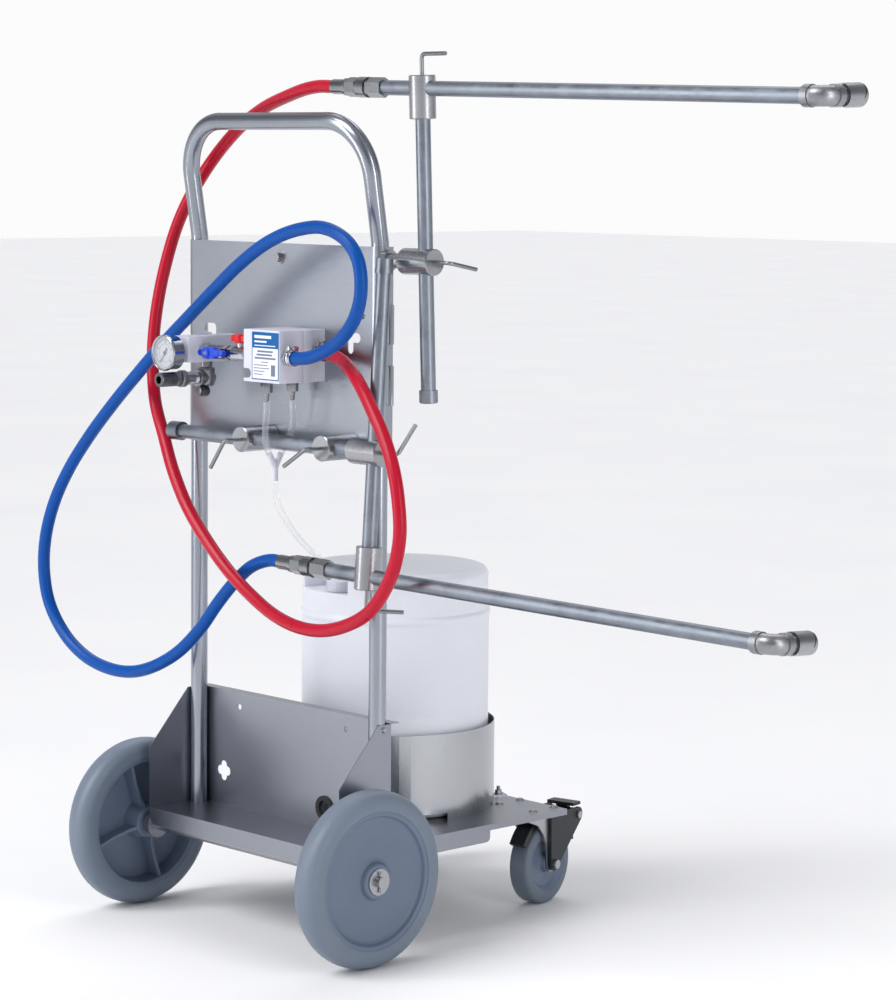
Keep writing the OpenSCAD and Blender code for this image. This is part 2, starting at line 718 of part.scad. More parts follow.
module castor_fork() {
  leg_in = 20;
  leg_t = 3;
  color([0.72, 0.73, 0.75]) {
    difference() {
      union() {
        translate([0, 0, 139]) cylinder(d = 56, h = 8.9);
        translate([-leg_in - leg_t, -26, 139]) cube([2 * leg_in + 2 * leg_t, 58, 3]);
        for (x = [-leg_in - leg_t, leg_in]) translate([x, 0, 0]) rotate([90, 0, 90]) linear_extrude(leg_t) {
          polygon([[-26, 142], [34, 142], [trail + 12, castor_axle_z], [trail - 12, castor_axle_z],
            [24, 88], [14, 111], [-2, 128], [-26, 137]]);
          translate([trail, castor_axle_z]) circle(r = 12);
        }
      }
      translate([0, 0, 130]) cylinder(d = 12.1, h = 20);
    }
    // Axle bolt and pedal pivot
    translate([-30.5, trail, castor_axle_z]) rotate([0, 90, 0]) cylinder(d = 10, h = 61);
    for (x = [-34, 28.6]) translate([x, trail, castor_axle_z]) rotate([0, 90, 0]) cylinder(d = 14, h = 5.4);
    translate([-29, pedal_y, pedal_z]) rotate([0, 90, 0]) cylinder(d = 6, h = 58);
    for (x = [-32, 28.6]) translate([x, pedal_y, pedal_z]) rotate([0, 90, 0]) cylinder(d = 11, h = 3.4);
  }
}

module castor_wheel() {
  color([0.42, 0.46, 0.5]) translate([0, trail, castor_axle_z]) rotate([0, 90, 0]) rotate_extrude()
    polygon([[5.05, -18], [13, -18], [14, -9], [38, -8], [42, -13], [48, -16], [56, -16], [60.5, -12],
      [castor_d / 2, -6], [castor_d / 2, 6], [60.5, 12], [56, 16], [48, 16], [42, 13], [38, 8], [14, 9],
      [13, 18], [5.05, 18]]);
}

// Black covers on both sides of the fork, joined over the wheel, with a shoe in front of it
module castor_cover() {
  cover = 4;
  color([0.13, 0.14, 0.15]) difference() {
    union() {
      for (x = [-28.4, 24.4]) translate([x, 0, 0]) rotate([90, 0, 90]) linear_extrude(cover) {
        polygon([[28, 138], [98, 140], [pedal_y + 8, pedal_z - 9], [trail + 8, castor_axle_z - 7],
          [trail - 10, castor_axle_z]]);
        translate([trail, castor_axle_z]) circle(r = 10.5);
        translate([pedal_y, pedal_z]) circle(r = 12);
      }
      translate([-28.4, 62, 131]) cube([56.8, 26, 5]);
      translate([-13, -6, 131]) cube([26, 94, 5]);
      translate([-13, trail, castor_axle_z]) rotate([90, 0, 90]) linear_extrude(26) intersection() {
        difference() {
          circle(r = 75);
          circle(r = 65.5);
        }
        polygon([[0, 0], [-40, 85], [-90, 85], [-90, 52]]);
      }
    }
    translate([-40, trail, castor_axle_z]) rotate([0, 90, 0]) cylinder(d = 10.1, h = 80);
    translate([-40, pedal_y, pedal_z]) rotate([0, 90, 0]) cylinder(d = 6.1, h = 80);
  }
}

// Lock pedal: hub between the covers, foot plate on top, release toe below
module castor_brake() {
  color([0.1, 0.1, 0.11]) difference() {
    union() {
      translate([-24, pedal_y, pedal_z]) rotate([0, 90, 0]) cylinder(d = 19, h = 48);
      translate([-10, pedal_y - 4, pedal_z]) cube([20, 9, 13]);
      translate([-24, pedal_y - 8, 141.5]) cube([48, 21, 4.8]);
      translate([-12, pedal_y - 3, 88]) cube([24, 7, 38]);
      translate([-14, pedal_y - 4, 86]) cube([28, 13, 4]);
    }
    translate([-40, pedal_y, pedal_z]) rotate([0, 90, 0]) cylinder(d = 6.1, h = 80);
  }
}

module right_castor_fork() {
  castor_frame(1) castor_fork();
}

module left_castor_fork() {
  castor_frame(-1) castor_fork();
}

module right_castor_wheel() {
  castor_frame(1) castor_wheel();
}

module left_castor_wheel() {
  castor_frame(-1) castor_wheel();
}

module right_castor_cover() {
  castor_frame(1) castor_cover();
}

module left_castor_cover() {
  castor_frame(-1) castor_cover();
}

module right_castor_brake() {
  castor_frame(1) castor_brake();
}

module left_castor_brake() {
  castor_frame(-1) castor_brake();
}

// ---- drum ----
module drum_ring() {
  wall = 1.5;
  color([0.68, 0.69, 0.72]) placed() translate([0, drum_y, tray_z]) {
    difference() {
      translate([0, 0, 0.02]) cylinder(r = ring_r, h = ring_h);
      translate([0, 0, -1]) cylinder(r = ring_r - wall, h = ring_h + 2);
      rotate([0, 0, -21]) translate([ring_r - 20, -26, -1]) cube([40, 52, 11]);
    }
    for (a = ring_tabs) rotate([0, 0, a]) translate([ring_r - 1, -11, 0.02]) difference() {
      cube([tab_r - ring_r + 12, 22, 1.5 - 0.04]);
      translate([tab_r - ring_r + 1, 11, -1]) cylinder(d = 6.5, h = 4);
    }
    // Lapped seam
    rotate([0, 0, -37]) translate([ring_r - 0.1, -9, 0.02]) cube([1.4, 18, ring_h]);
  }
}

module drum() {
  r = drum_d / 2;
  top = drum_z1 - tray_z;
  color([0.92, 0.93, 0.96]) placed() translate([0, drum_y, tray_z + 0.3]) difference() {
    rotate_extrude() polygon([[0, 0], [r - 10, 0], [r - 3, 3], [r, 10], [r, 294], [r + 3, 298], [r + 3, 302],
      [r, 306], [r, top - 22], [r - 3, top - 12], [r - 10, top - 4], [r - 20, top], [0, top - 3]]);
    // Recess at the front for the neck
    translate([-70, -r - 10, ledge_z - tray_z]) cube([112, 72, 60]);
    translate([drum_cap_at[0], drum_cap_at[1] - drum_y, ledge_z - tray_z - 30]) cylinder(r = 17, h = 40);
  }
}

module drum_cap() {
  color([0.94, 0.95, 0.97]) placed() translate([drum_cap_at[0], drum_cap_at[1], ledge_z + 0.5]) difference() {
    cap(42, 17);
    translate([0, 0, -1]) cylinder(r = suction_r + 0.3, h = 19);
  }
}

// ---- liquid side ----
module injector_block() {
  notch = 7;
  color([0.9, 0.9, 0.94]) placed() difference() {
    translate([block_x0, block_y0, block_z0]) cube([block_x1 - block_x0, block_y1 - block_y0, block_z1 - block_z0]);
    translate([block_x0 - 1, block_y0 - 1, 825]) cube([10, 100, 2 * notch]);
    translate([block_x0 + 9, block_y0 - 1, 825 + notch]) rotate([-90, 0, 0]) cylinder(r = notch, h = 100);
    for (t = [blue_tail, red_tail]) translate(t - [12, 0, 0]) rotate([0, 90, 0]) cylinder(d = 13.2, h = 13);
    for (y = [front_barb_y, rear_barb_y]) translate([barb_x, y, block_z0 - 1]) cylinder(d = 9.6, h = 11);
    translate([block_x0 - 1, valve_y, valve_z]) rotate([0, 90, 0]) cylinder(d = 13.2, h = 11);
  }
}

module manifold_bar() {
  color([0.9, 0.9, 0.94]) placed() difference() {
    translate([bar_x - bar_w / 2, bar_y0, bar_z - bar_w / 2]) cube([bar_w, panel_y - bar_y0, bar_w]);
    translate([bar_x, valve_y, valve_z]) rotate([0, 90, 0]) cylinder(d = 13.2, h = bar_w);
    translate([bar_x, -2, bar_z - bar_w / 2 - 1]) cylinder(d = 18, h = 21);
    translate([bar_x, bar_y0 - 1, gauge_z]) rotate([-90, 0, 0]) cylinder(d = 12, h = 15);
  }
}

module gauge_case() {
  color([0.78, 0.79, 0.81]) placed() translate([bar_x, bar_y0, gauge_z]) rotate([90, 0, 0]) difference() {
    union() {
      translate([0, 0, -12]) cylinder(d = 11.9, h = 13);
      translate([0, 0, 0.5]) cylinder(d = 20, h = 8, $fn = 6);
      translate([0, 0, 7]) cylinder(d1 = 36, d2 = 50, h = 3);
      translate([0, 0, 10]) cylinder(d = 50, h = 18);
      translate([0, 0, 28]) cylinder(d = 53, h = 5);
    }
    translate([0, 0, 27]) cylinder(d = 47, h = 8);
  }
}

module gauge_needle() {
  color([0.1, 0.1, 0.12]) placed() translate([bar_x, bar_y0 - 27.3, gauge_z]) rotate([90, 0, 0]) {
    cylinder(d = 5, h = 2.4);
    rotate([0, 0, 235]) translate([-8, -0.8, 0.8]) cube([26, 1.6, 0.8]);
  }
}

// Mini ball valves between the manifold bar and the injector
module ball_valves() {
  color([0.75, 0.76, 0.78]) placed() translate([0, valve_y, valve_z]) {
    rotate([0, 90, 0]) {
      translate([0, 0, bar_x + bar_w / 2 - 10]) cylinder(d = 13, h = block_x0 - bar_x - bar_w / 2 + 18);
      translate([0, 0, -78]) cylinder(d = 24, h = 10, $fn = 6);
      translate([0, 0, -68]) cylinder(d = 21, h = 38);
      translate([0, 0, -29]) cylinder(d = 24, h = 10, $fn = 6);
      translate([0, 0, -17]) cylinder(d = 22, h = 9, $fn = 6);
      translate([0, 0, -8]) cylinder(d = 21, h = 28);
    }
    translate([blue_valve_x, 0, 0]) rotate([90, 0, 0]) cylinder(d = 9, h = 15);
    translate([red_valve_x, 0, 0]) cylinder(d = 9, h = 15);
  }
}

// Valve lever on the +Z axis, its blade along X from x0 to x1
module valve_lever(x0, x1) {
  difference() {
    union() {
      cylinder(d = 14, h = 12);
      translate([x0, -4.5, 3]) cube([x1 - x0, 9, 8]);
      for (x = [x0, x1]) translate([x, 0, 3]) cylinder(d = 9, h = 8);
    }
    translate([0, 0, -1]) cylinder(d = 4, h = 20);
  }
}

module blue_lever() {
  color([0.05, 0.25, 0.85]) placed() translate([blue_valve_x, valve_y - 15.3, valve_z]) rotate([90, 0, 0])
    valve_lever(-14, 32);
}

module red_lever() {
  color([0.85, 0.1, 0.12]) placed() translate([red_valve_x, valve_y, valve_z + 15.3])
    valve_lever(-14, 14);
}

module inlet_fittings() {
  z = 817;
  y = -2;
  top = bar_z - bar_w / 2;
  color([0.6, 0.62, 0.64]) placed() translate([bar_x, y, z]) {
    difference() {
      union() {
        cylinder(d = 17.8, h = 30);
        translate([0, 0, -13]) cylinder(d = 26, h = 13 + top - z - 1);
        rotate([90, 0, 0]) cylinder(d = 24, h = 18);
        rotate([90, 0, 0]) cylinder(d = 17, h = 78);
        translate([0, -24, 0]) rotate([90, 0, 0]) cylinder(d = 20, h = 18);
        translate([0, -42, 0]) rotate([90, 0, 0]) cylinder(d = 25, h = 10);
        translate([0, -53, 0]) rotate([90, 0, 0]) cylinder(d = 24, h = 10, $fn = 6);
        translate([0, -63, 0]) rotate([90, 0, 0]) cylinder(d = 21.3, h = 27);
      }
      translate([0, -91, 0]) rotate([-90, 0, 0]) cylinder(d = 12, h = 80);
    }
    translate([0, -8, -20]) rotate([90, 0, 0]) {
      translate([0, 0, -9]) cylinder(d = 16, h = 13);
      cylinder(d = 15, h = 7, $fn = 6);
    }
  }
}

module hose_barbs() {
  color([0.75, 0.76, 0.78]) placed() {
    for (t = [blue_tail, red_tail]) translate(t) rotate([0, 90, 0]) {
      translate([0, 0, -11]) cylinder(d = 13, h = 12);
      cylinder(d = 20, h = 6, $fn = 6);
      translate([0, 0, 9]) bored(23.5, 2 * hose_r + 0.3, 9);
      // Screw housing and screw of the worm clamp
      translate([-16, -5, 9]) cube([5.5, 12, 9]);
      translate([-14.2, 8.5, 13.5]) rotate([90, 0, 0]) cylinder(d = 6.6, h = 18, $fn = 6);
    }
    for (y = [front_barb_y, rear_barb_y]) translate([barb_x, y, block_z0]) {
      cylinder(d = 9.5, h = 9);
      translate([0, 0, -13]) cylinder(d = 13, h = 13, $fn = 6);
      translate([0, 0, -28]) cylinder(d = 6, h = 16);
    }
  }
}

module y_fitting() {
  arm = 22;
  color([0.85, 0.86, 0.9]) placed() translate(y_at) {
    translate([0, 0, -20]) cylinder(d = 9, h = 20);
    for (a = [-30, 30]) rotate([a, 0, 0]) cylinder(d = 9, h = arm);
    sphere(d = 10);
  }
}

module red_hose() {
  color([0.8, 0.1, 0.2]) placed() swept(red_route, hose_r, hose_sides);
}

module blue_hose() {
  color([0.02, 0.28, 0.62]) placed() swept(blue_route, hose_r, hose_sides);
}

module suction_tubes() {
  color([0.85, 0.87, 0.9]) placed() for (route = [left_tube_route, right_tube_route])
    swept(route, suction_r, hose_sides);
}

module drum_tube() {
  color([0.85, 0.87, 0.9]) placed() swept(drum_tube_route, suction_r, hose_sides);
}

handle_frame();
base_tray();
tray_guard();
guard_grommet();
control_panel();
frame_fasteners();
crossbar_clamps();
crossbar();
crossbar_cap();
corner_clamp();
drop_pipe();
drop_pipe_cap();
lower_arm_clamp();
lower_arm();
lower_coupling();
lower_elbow();
lower_nozzle();
mast_clamp();
mast();
mast_cap();
upper_arm_clamp();
upper_arm();
upper_coupling();
upper_elbow();
upper_nozzle();
crossbar_screw_left();
crossbar_screw_right();
corner_screw();
lower_arm_screw();
mast_screw();
upper_arm_screw();
wheel_axle();
right_wheel();
left_wheel();
castor_plates();
right_castor_fork();
left_castor_fork();
right_castor_wheel();
left_castor_wheel();
right_castor_cover();
left_castor_cover();
right_castor_brake();
left_castor_brake();
drum_ring();
drum();
drum_cap();
injector_block();
manifold_bar();
gauge_case();
gauge_needle();
ball_valves();
blue_lever();
red_lever();
inlet_fittings();
hose_barbs();
y_fitting();
red_hose();
blue_hose();
suction_tubes();
drum_tube();
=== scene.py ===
import math

import bmesh
import bpy
from mathutils import Matrix, Vector


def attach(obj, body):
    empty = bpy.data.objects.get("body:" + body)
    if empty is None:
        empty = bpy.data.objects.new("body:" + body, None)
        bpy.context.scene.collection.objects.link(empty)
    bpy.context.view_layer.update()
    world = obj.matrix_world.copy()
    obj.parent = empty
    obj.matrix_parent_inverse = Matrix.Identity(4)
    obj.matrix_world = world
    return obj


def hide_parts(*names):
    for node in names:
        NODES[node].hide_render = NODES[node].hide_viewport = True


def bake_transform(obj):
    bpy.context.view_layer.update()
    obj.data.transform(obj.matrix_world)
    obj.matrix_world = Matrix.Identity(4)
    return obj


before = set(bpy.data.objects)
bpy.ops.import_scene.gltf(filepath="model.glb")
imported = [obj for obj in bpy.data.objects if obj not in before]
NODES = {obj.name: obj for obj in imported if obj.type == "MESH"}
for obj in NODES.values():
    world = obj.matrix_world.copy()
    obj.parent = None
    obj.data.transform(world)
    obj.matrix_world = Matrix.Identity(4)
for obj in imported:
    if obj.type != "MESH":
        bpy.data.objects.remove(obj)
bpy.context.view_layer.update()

HOSE_RADIUS = 0.0095
SUCTION_RADIUS = 0.00475
TRAY_Z = 156.3
DRUM_Y = 291
CAP_Y = 178
# The cart's own measures are in millimetres from the middle of the axle line
CENTRE = Vector((-367.16, -206.21, 0.0))


def at(x, y, z):
    """Millimetres on the cart to metres in the row frame."""
    return (Vector((x, y, z)) + CENTRE) / 1000


# ---------------------------------------------------------------- camera
camera_data = bpy.data.cameras.new("camera")
camera = bpy.data.objects.new("camera", camera_data)
bpy.context.scene.collection.objects.link(camera)
azimuth = math.radians(43.76)
pitch = math.radians(4.589)
roll = math.radians(0.47)
level = Vector((math.sin(azimuth), math.cos(azimuth), 0))
ahead = Vector((-math.cos(azimuth), math.sin(azimuth), 0))
up = Vector((0, 0, 1))
forward = ahead * math.cos(pitch) - up * math.sin(pitch)
over = up * math.cos(pitch) + ahead * math.sin(pitch)
right = level * math.cos(roll) + over * math.sin(roll)
over = over * math.cos(roll) - level * math.sin(roll)
eye = at(3406.64, -2863.82, 1148.16)
turn = Matrix((right, over, -forward)).transposed().to_4x4()
camera.matrix_world = Matrix.Translation(eye) @ turn
camera_data.lens = 110.15
camera_data.sensor_width = 36
camera_data.shift_y = -0.10
camera_data.clip_end = 100
bpy.context.scene.camera = camera


# ---------------------------------------------------------------- mesh helpers
def new_mesh(name, verts, faces, smooth=True):
    mesh = bpy.data.meshes.new(name)
    mesh.from_pydata([tuple(v) for v in verts], [], faces)
    mesh.validate()
    bm = bmesh.new()
    bm.from_mesh(mesh)
    bmesh.ops.recalc_face_normals(bm, faces=bm.faces)
    bm.to_mesh(mesh)
    bm.free()
    obj = bpy.data.objects.new(name, mesh)
    bpy.context.scene.collection.objects.link(obj)
    for polygon in mesh.polygons:
        polygon.use_smooth = smooth
    return obj


def smooth_path(points, step):
    """Catmull-Rom curve through the points, resampled about every step metres."""
    pts = [Vector(p) for p in points]
    ext = [pts[0] * 2 - pts[1]] + pts + [pts[-1] * 2 - pts[-2]]
    fine = []
    for i in range(1, len(ext) - 2):
        p0, p1, p2, p3 = ext[i - 1], ext[i], ext[i + 1], ext[i + 2]
        t0, t1 = 0.0, (p1 - p0).length ** 0.5
        t2 = t1 + (p2 - p1).length ** 0.5
        t3 = t2 + (p3 - p2).length ** 0.5
        for k in range(24):
            t = t1 + (t2 - t1) * k / 24
            a1 = p0 * ((t1 - t) / (t1 - t0)) + p1 * ((t - t0) / (t1 - t0))
            a2 = p1 * ((t2 - t) / (t2 - t1)) + p2 * ((t - t1) / (t2 - t1))
            a3 = p2 * ((t3 - t) / (t3 - t2)) + p3 * ((t - t2) / (t3 - t2))
            b1 = a1 * ((t2 - t) / (t2 - t0)) + a2 * ((t - t0) / (t2 - t0))
            b2 = a2 * ((t3 - t) / (t3 - t1)) + a3 * ((t - t1) / (t3 - t1))
            fine.append(b1 * ((t2 - t) / (t2 - t1)) + b2 * ((t - t1) / (t2 - t1)))
    fine.append(pts[-1])
    length = sum((b - a).length for a, b in zip(fine, fine[1:]))
    count = max(2, round(length / step))
    out, run, k = [fine[0]], 0.0, 1
    for a, b in zip(fine, fine[1:]):
        d = (b - a).length
        while k < count and run + d >= length * k / count - 1e-12:
            out.append(a.lerp(b, (length * k / count - run) / d))
            k += 1
        run += d
    out.append(fine[-1])
    return out


def frames_along(path):
    """Tangent and two cross directions at each point, carried without twist."""
    tangents = []
    for i in range(len(path)):
        a, b = path[max(i - 1, 0)], path[min(i + 1, len(path) - 1)]
        tangents.append((b - a).normalized())
    side = tangents[0].cross(Vector((0, 1, 0.1)))
    if side.length < 1e-3:
        side = tangents[0].cross(Vector((1, 0, 0)))
    side.normalize()
    out = []
    for t in tangents:
        side = (side - t * side.dot(t)).normalized()
        out.append((t, side, t.cross(side)))
    return out


def tube(name, path, radius, sides, frames):
    """Closed mesh tube along a path, with one pair of cross directions per point."""
    verts, faces = [], []
    for p, (_, u, v) in zip(path, frames):
        for k in range(sides):
            a = 2 * math.pi * k / sides
            verts.append(p + u * (radius * math.cos(a)) + v * (radius * math.sin(a)))
    for i in range(len(path) - 1):
        for k in range(sides):
            a, b = i * sides + k, i * sides + (k + 1) % sides
            faces.append((a, b, b + sides, a + sides))
    faces.append(tuple(reversed(range(sides))))
    faces.append(tuple(range((len(path) - 1) * sides, len(path) * sides)))
    obj = new_mesh(name, verts, faces)
    obj.data.set_sharp_from_angle(angle=math.radians(50))
    return obj


# ---------------------------------------------------------------- routes, millimetres
BLUE_ROUTE = [
    (107.6, -18, 857), (125, -18, 857), (150, -18, 860), (180, -19, 869), (210, -21, 882),
    (235, -24, 899), (255, -27, 919), (268, -29, 943), (272, -30, 970), (266, -30, 1000),
    (248, -30, 1023), (220, -30, 1038), (185, -29, 1045), (145, -28, 1042), (100, -27, 1032),
    (50, -25, 1013), (-5, -23, 983), (-60, -21, 947), (-120, -20, 905), (-180, -20, 862),
    (-235, -21, 818), (-295, -22, 768), (-355, -24, 712), (-405, -27, 655), (-440, -29, 600),
    (-460, -30, 545), (-464, -30, 494), (-450, -30, 444), (-410, -29, 398), (-360, -27, 370),
    (-305, -24, 358), (-255, -20, 359), (-205, -17, 373), (-150, -13, 402), (-103, -9, 442),
    (-68, -6, 482), (-32, -3, 518), (5, 0, 546), (45, 1.7, 558.7), (69, 1.7, 558.5),
    (83.4, 1.7, 558.3)]
RED_ROUTE = [
    (107.6, 38, 862), (125, 38, 862), (150, 33, 859), (185, 20, 851), (232, 0, 832),
    (279, -15, 795), (315, -24, 757), (344, -33, 716), (362, -40, 672), (367, -42, 630),
    (358, -42, 589), (337, -42, 550), (304, -41, 516), (262, -40, 494), (208, -39, 479),
    (153, -37, 477), (97, -34, 487), (38, -29, 509), (-23, -24, 541), (-82, -19, 583),
    (-129, -14, 624), (-172, -6, 673), (-213, 8, 724), (-239, 14, 767), (-256, 22, 811),
    (-267, 31, 855), (-273, 41, 900), (-275, 52, 944), (-272, 63, 989), (-264, 74, 1034),
    (-248, 83, 1074), (-222, 90, 1113), (-182, 93, 1153), (-130, 90, 1188), (-67, 80, 1214),
    (0, 69, 1231), (50, 62, 1241), (82, 60.3, 1244.2), (107, 60.2, 1243.6), (127, 60.2, 1243.15)]
LEFT_TUBE_ROUTE = [
    (60, -20, 792), (60, -20, 776), (57, -19, 760), (51, -15, 745), (45.5, -9.5, 731),
    (42.5, -4.5, 722.5), (42, 0.4, 714.1)]
RIGHT_TUBE_ROUTE = [
    (60, 29, 792), (60, 30, 776), (57, 33, 760), (51, 34.5, 745), (45.5, 32.5, 731),
    (42.5, 28.5, 722.5), (42, 23.6, 714.1)]
DRUM_TUBE_ROUTE = [
    (42, 12, 674), (42, 13, 655), (42, 20, 635), (41, 36, 612), (38, 62, 585),
    (33, 92, 562), (25, 125, 545), (14, 155, 531), (5, 171, 524), (1, 177, 517),
    (0, 178, 510), (0, 178, 498)]


# ---------------------------------------------------------------- materials
def principled(name):
    material = bpy.data.materials.new(name)
    material.use_nodes = True
    tree = material.node_tree
    return material, tree, tree.nodes["Principled BSDF"]


def coords(tree, scale=(1, 1, 1)):
    source = tree.nodes.new("ShaderNodeTexCoord")
    mapping = tree.nodes.new("ShaderNodeMapping")
    mapping.inputs["Scale"].default_value = scale
    tree.links.new(source.outputs["Object"], mapping.inputs["Vector"])
    return mapping.outputs["Vector"]


def noise_node(tree, vector, scale, detail=3.0, roughness=0.5):
    node = tree.nodes.new("ShaderNodeTexNoise")
    node.inputs["Scale"].default_value = scale
    node.inputs["Detail"].default_value = detail
    node.inputs["Roughness"].default_value = roughness
    tree.links.new(vector, node.inputs["Vector"])
    return node.outputs["Fac"]


def remap(tree, value, low, high, start=0.3, end=0.7):
    node = tree.nodes.new("ShaderNodeMapRange")
    node.inputs["From Min"].default_value = start
    node.inputs["From Max"].default_value = end
    node.inputs["To Min"].default_value = low
    node.inputs["To Max"].default_value = high
    tree.links.new(value, node.inputs["Value"])
    return node.outputs["Result"]


def ramp(tree, value, stops):
    node = tree.nodes.new("ShaderNodeValToRGB")
    while len(node.color_ramp.elements) < len(stops):
        node.color_ramp.elements.new(0.5)
    for element, (position, color) in zip(node.color_ramp.elements, stops):
        element.position = position
        element.color = (*color, 1)
    tree.links.new(value, node.inputs["Fac"])
    return node.outputs["Color"]


def bump(tree, shader, value, strength, distance):
    node = tree.nodes.new("ShaderNodeBump")
    node.inputs["Strength"].default_value = strength
    node.inputs["Distance"].default_value = distance
    tree.links.new(value, node.inputs["Height"])
    tree.links.new(node.outputs["Normal"], shader.inputs["Normal"])


def tint(color, factor):
    return tuple(min(1.0, c * factor) for c in color)


def metal(name, color, rough, grain=(1, 1, 1), grain_scale=900, spread=0.06, mottle=0.06,
          grain_bump=0.04, blotch=9.0, streak=0.05):
    """Brushed or mill-finish steel: fine grain along one axis and large soft mottling."""
    material, tree, shader = principled(name)
    shader.inputs["Metallic"].default_value = 1.0
    fine = noise_node(tree, coords(tree, grain), grain_scale, 3.0, 0.6)
    large = noise_node(tree, coords(tree), blotch, 4.0, 0.6)
    base = ramp(tree, large, [(0.3, tint(color, 1 - mottle)), (0.7, tint(color, 1 + mottle))])
    lines = ramp(tree, fine, [(0.3, tint((1, 1, 1), 1 - 2 * streak)), (0.7, (1, 1, 1))])
    mix = tree.nodes.new("ShaderNodeMix")
    mix.data_type = "RGBA"
    mix.blend_type = "MULTIPLY"
    mix.inputs["Factor"].default_value = 1.0
    tree.links.new(base, mix.inputs["A"])
    tree.links.new(lines, mix.inputs["B"])
    tree.links.new(mix.outputs["Result"], shader.inputs["Base Color"])
    total = tree.nodes.new("ShaderNodeMath")
    total.operation = "ADD"
    tree.links.new(remap(tree, fine, -spread, spread), total.inputs[0])
    tree.links.new(remap(tree, large, rough - spread / 2, rough + spread / 2), total.inputs[1])
    tree.links.new(total.outputs["Value"], shader.inputs["Roughness"])
    bump(tree, shader, fine, grain_bump, 0.0002)
    return material


def plastic(name, color, rough, speck=0.05, texture=0.06, scale=900, coat=0.0, sub=0.0,
            specular=0.5):
    material, tree, shader = principled(name)
    large = noise_node(tree, coords(tree), 14, 4.0, 0.55)
    fine = noise_node(tree, coords(tree), scale, 2.0, 0.5)
    color_out = ramp(tree, large,
                     [(0.3, tint(color, 1 - speck)), (0.7, tint(color, 1 + speck))])
    tree.links.new(color_out, shader.inputs["Base Color"])
    tree.links.new(remap(tree, large, rough - 0.04, rough + 0.04), shader.inputs["Roughness"])
    shader.inputs["Coat Weight"].default_value = coat
    shader.inputs["Coat Roughness"].default_value = 0.12
    shader.inputs["Specular IOR Level"].default_value = specular
    if sub:
        shader.inputs["Subsurface Weight"].default_value = sub
        shader.inputs["Subsurface Radius"].default_value = (1.0, 1.0, 1.0)
        shader.inputs["Subsurface Scale"].default_value = 0.02
    bump(tree, shader, fine, texture, 0.0005)
    return material


MAT = {
    "sheet": metal("brushed sheet", (0.335, 0.35, 0.395), 0.34, (0.03, 1, 1),
                   1300, 0.04, 0.07, 0.03, 3, 0.03),
    "panel": metal("panel sheet", (0.375, 0.40, 0.445), 0.31, (0.03, 1, 1),
                   1300, 0.04, 0.06, 0.03, 3, 0.03),
    "ring": metal("ring sheet", (0.45, 0.46, 0.485), 0.24, (1, 1, 0.02),
                  1200, 0.04, 0.05, 0.03, 7, 0.03),
    "tube": metal("frame tube", (0.345, 0.37, 0.415), 0.24, (1, 1, 0.02),
                  1500, 0.03, 0.04, 0.02, 8, 0.015),
    "pipe": metal("mill pipe", (0.275, 0.305, 0.35), 0.40, (0.3, 1, 0.3),
                  160, 0.07, 0.16, 0.10, 28, 0.07),
    "turned": metal("turned steel", (0.40, 0.405, 0.425), 0.27, (1, 1, 1),
                    1400, 0.05, 0.05, 0.04, 20),
    "cast": metal("cast steel", (0.33, 0.335, 0.35), 0.38, (1, 1, 1), 420, 0.07, 0.12, 0.14, 45),
    "coupling": metal("coupling steel", (0.33, 0.34, 0.355), 0.20, (1, 1, 1),
                      700, 0.05, 0.06, 0.05, 40),
    "rod": metal("bent rod", (0.30, 0.315, 0.335), 0.32, (1, 1, 1), 500, 0.05, 0.08, 0.06, 30),
    "bright": metal("bright plated steel", (0.60, 0.61, 0.64), 0.15, (1, 1, 1),
                    500, 0.04, 0.05, 0.03, 30),
    "zinc": metal("zinc plate", (0.50, 0.51, 0.53), 0.34, (1, 1, 1), 200, 0.08, 0.08, 0.08, 30),
    "dark_steel": metal("dark fitting", (0.17, 0.175, 0.185), 0.36, (1, 1, 1),
                        300, 0.08, 0.14, 0.12, 40),
    "fitting": metal("cast fitting", (0.30, 0.305, 0.315), 0.33, (1, 1, 1),
                     300, 0.08, 0.14, 0.10, 40),
    "wheel": plastic("wheel centre", (0.135, 0.175, 0.25), 0.40, 0.06, 0.08, 600),
    "tyre": plastic("wheel tread", (0.165, 0.205, 0.265), 0.46, 0.05, 0.08, 600),
    "castor_tyre": plastic("castor tread", (0.13, 0.165, 0.21), 0.44, 0.06, 0.08, 600),
    "black": plastic("black plastic", (0.012, 0.014, 0.018), 0.40, 0.1, 0.12, 500),
    "rubber": plastic("black rubber", (0.014, 0.014, 0.014), 0.6, 0.1, 0.15, 500),
    "white": plastic("white block", (0.70, 0.71, 0.80), 0.42, 0.02, 0.04, 500, 0.0, 0.12),
    "drum": plastic("drum plastic", (0.79, 0.81, 0.87), 0.38, 0.02, 0.06, 160, 0.0, 0.25),
    "red": plastic("red hose", (0.50, 0.004, 0.026), 0.30, 0.03, 0.02, 500, 0.06, 0.0, 0.25),
    "blue": plastic("blue hose", (0.0, 0.075, 0.36), 0.34, 0.04, 0.02, 500, 0.03, 0.0, 0.2),
    "red_lever": plastic("red lever", (0.68, 0.006, 0.012), 0.34, 0.04, 0.04, 500),
    "blue_lever": plastic("blue lever", (0.002, 0.05, 0.60), 0.34, 0.04, 0.04, 500),
}


# Turned and rolled surfaces carry their grain round their own axis
for name in ("ring", "turned"):
    tree = MAT[name].node_tree
    tangent = tree.nodes.new("ShaderNodeTangent")
    tangent.direction_type = "RADIAL"
    tangent.axis = "Z"
    tree.links.new(tangent.outputs["Tangent"], tree.nodes["Principled BSDF"].inputs["Tangent"])
    tree.nodes["Principled BSDF"].inputs["Anisotropic"].default_value = 0.55


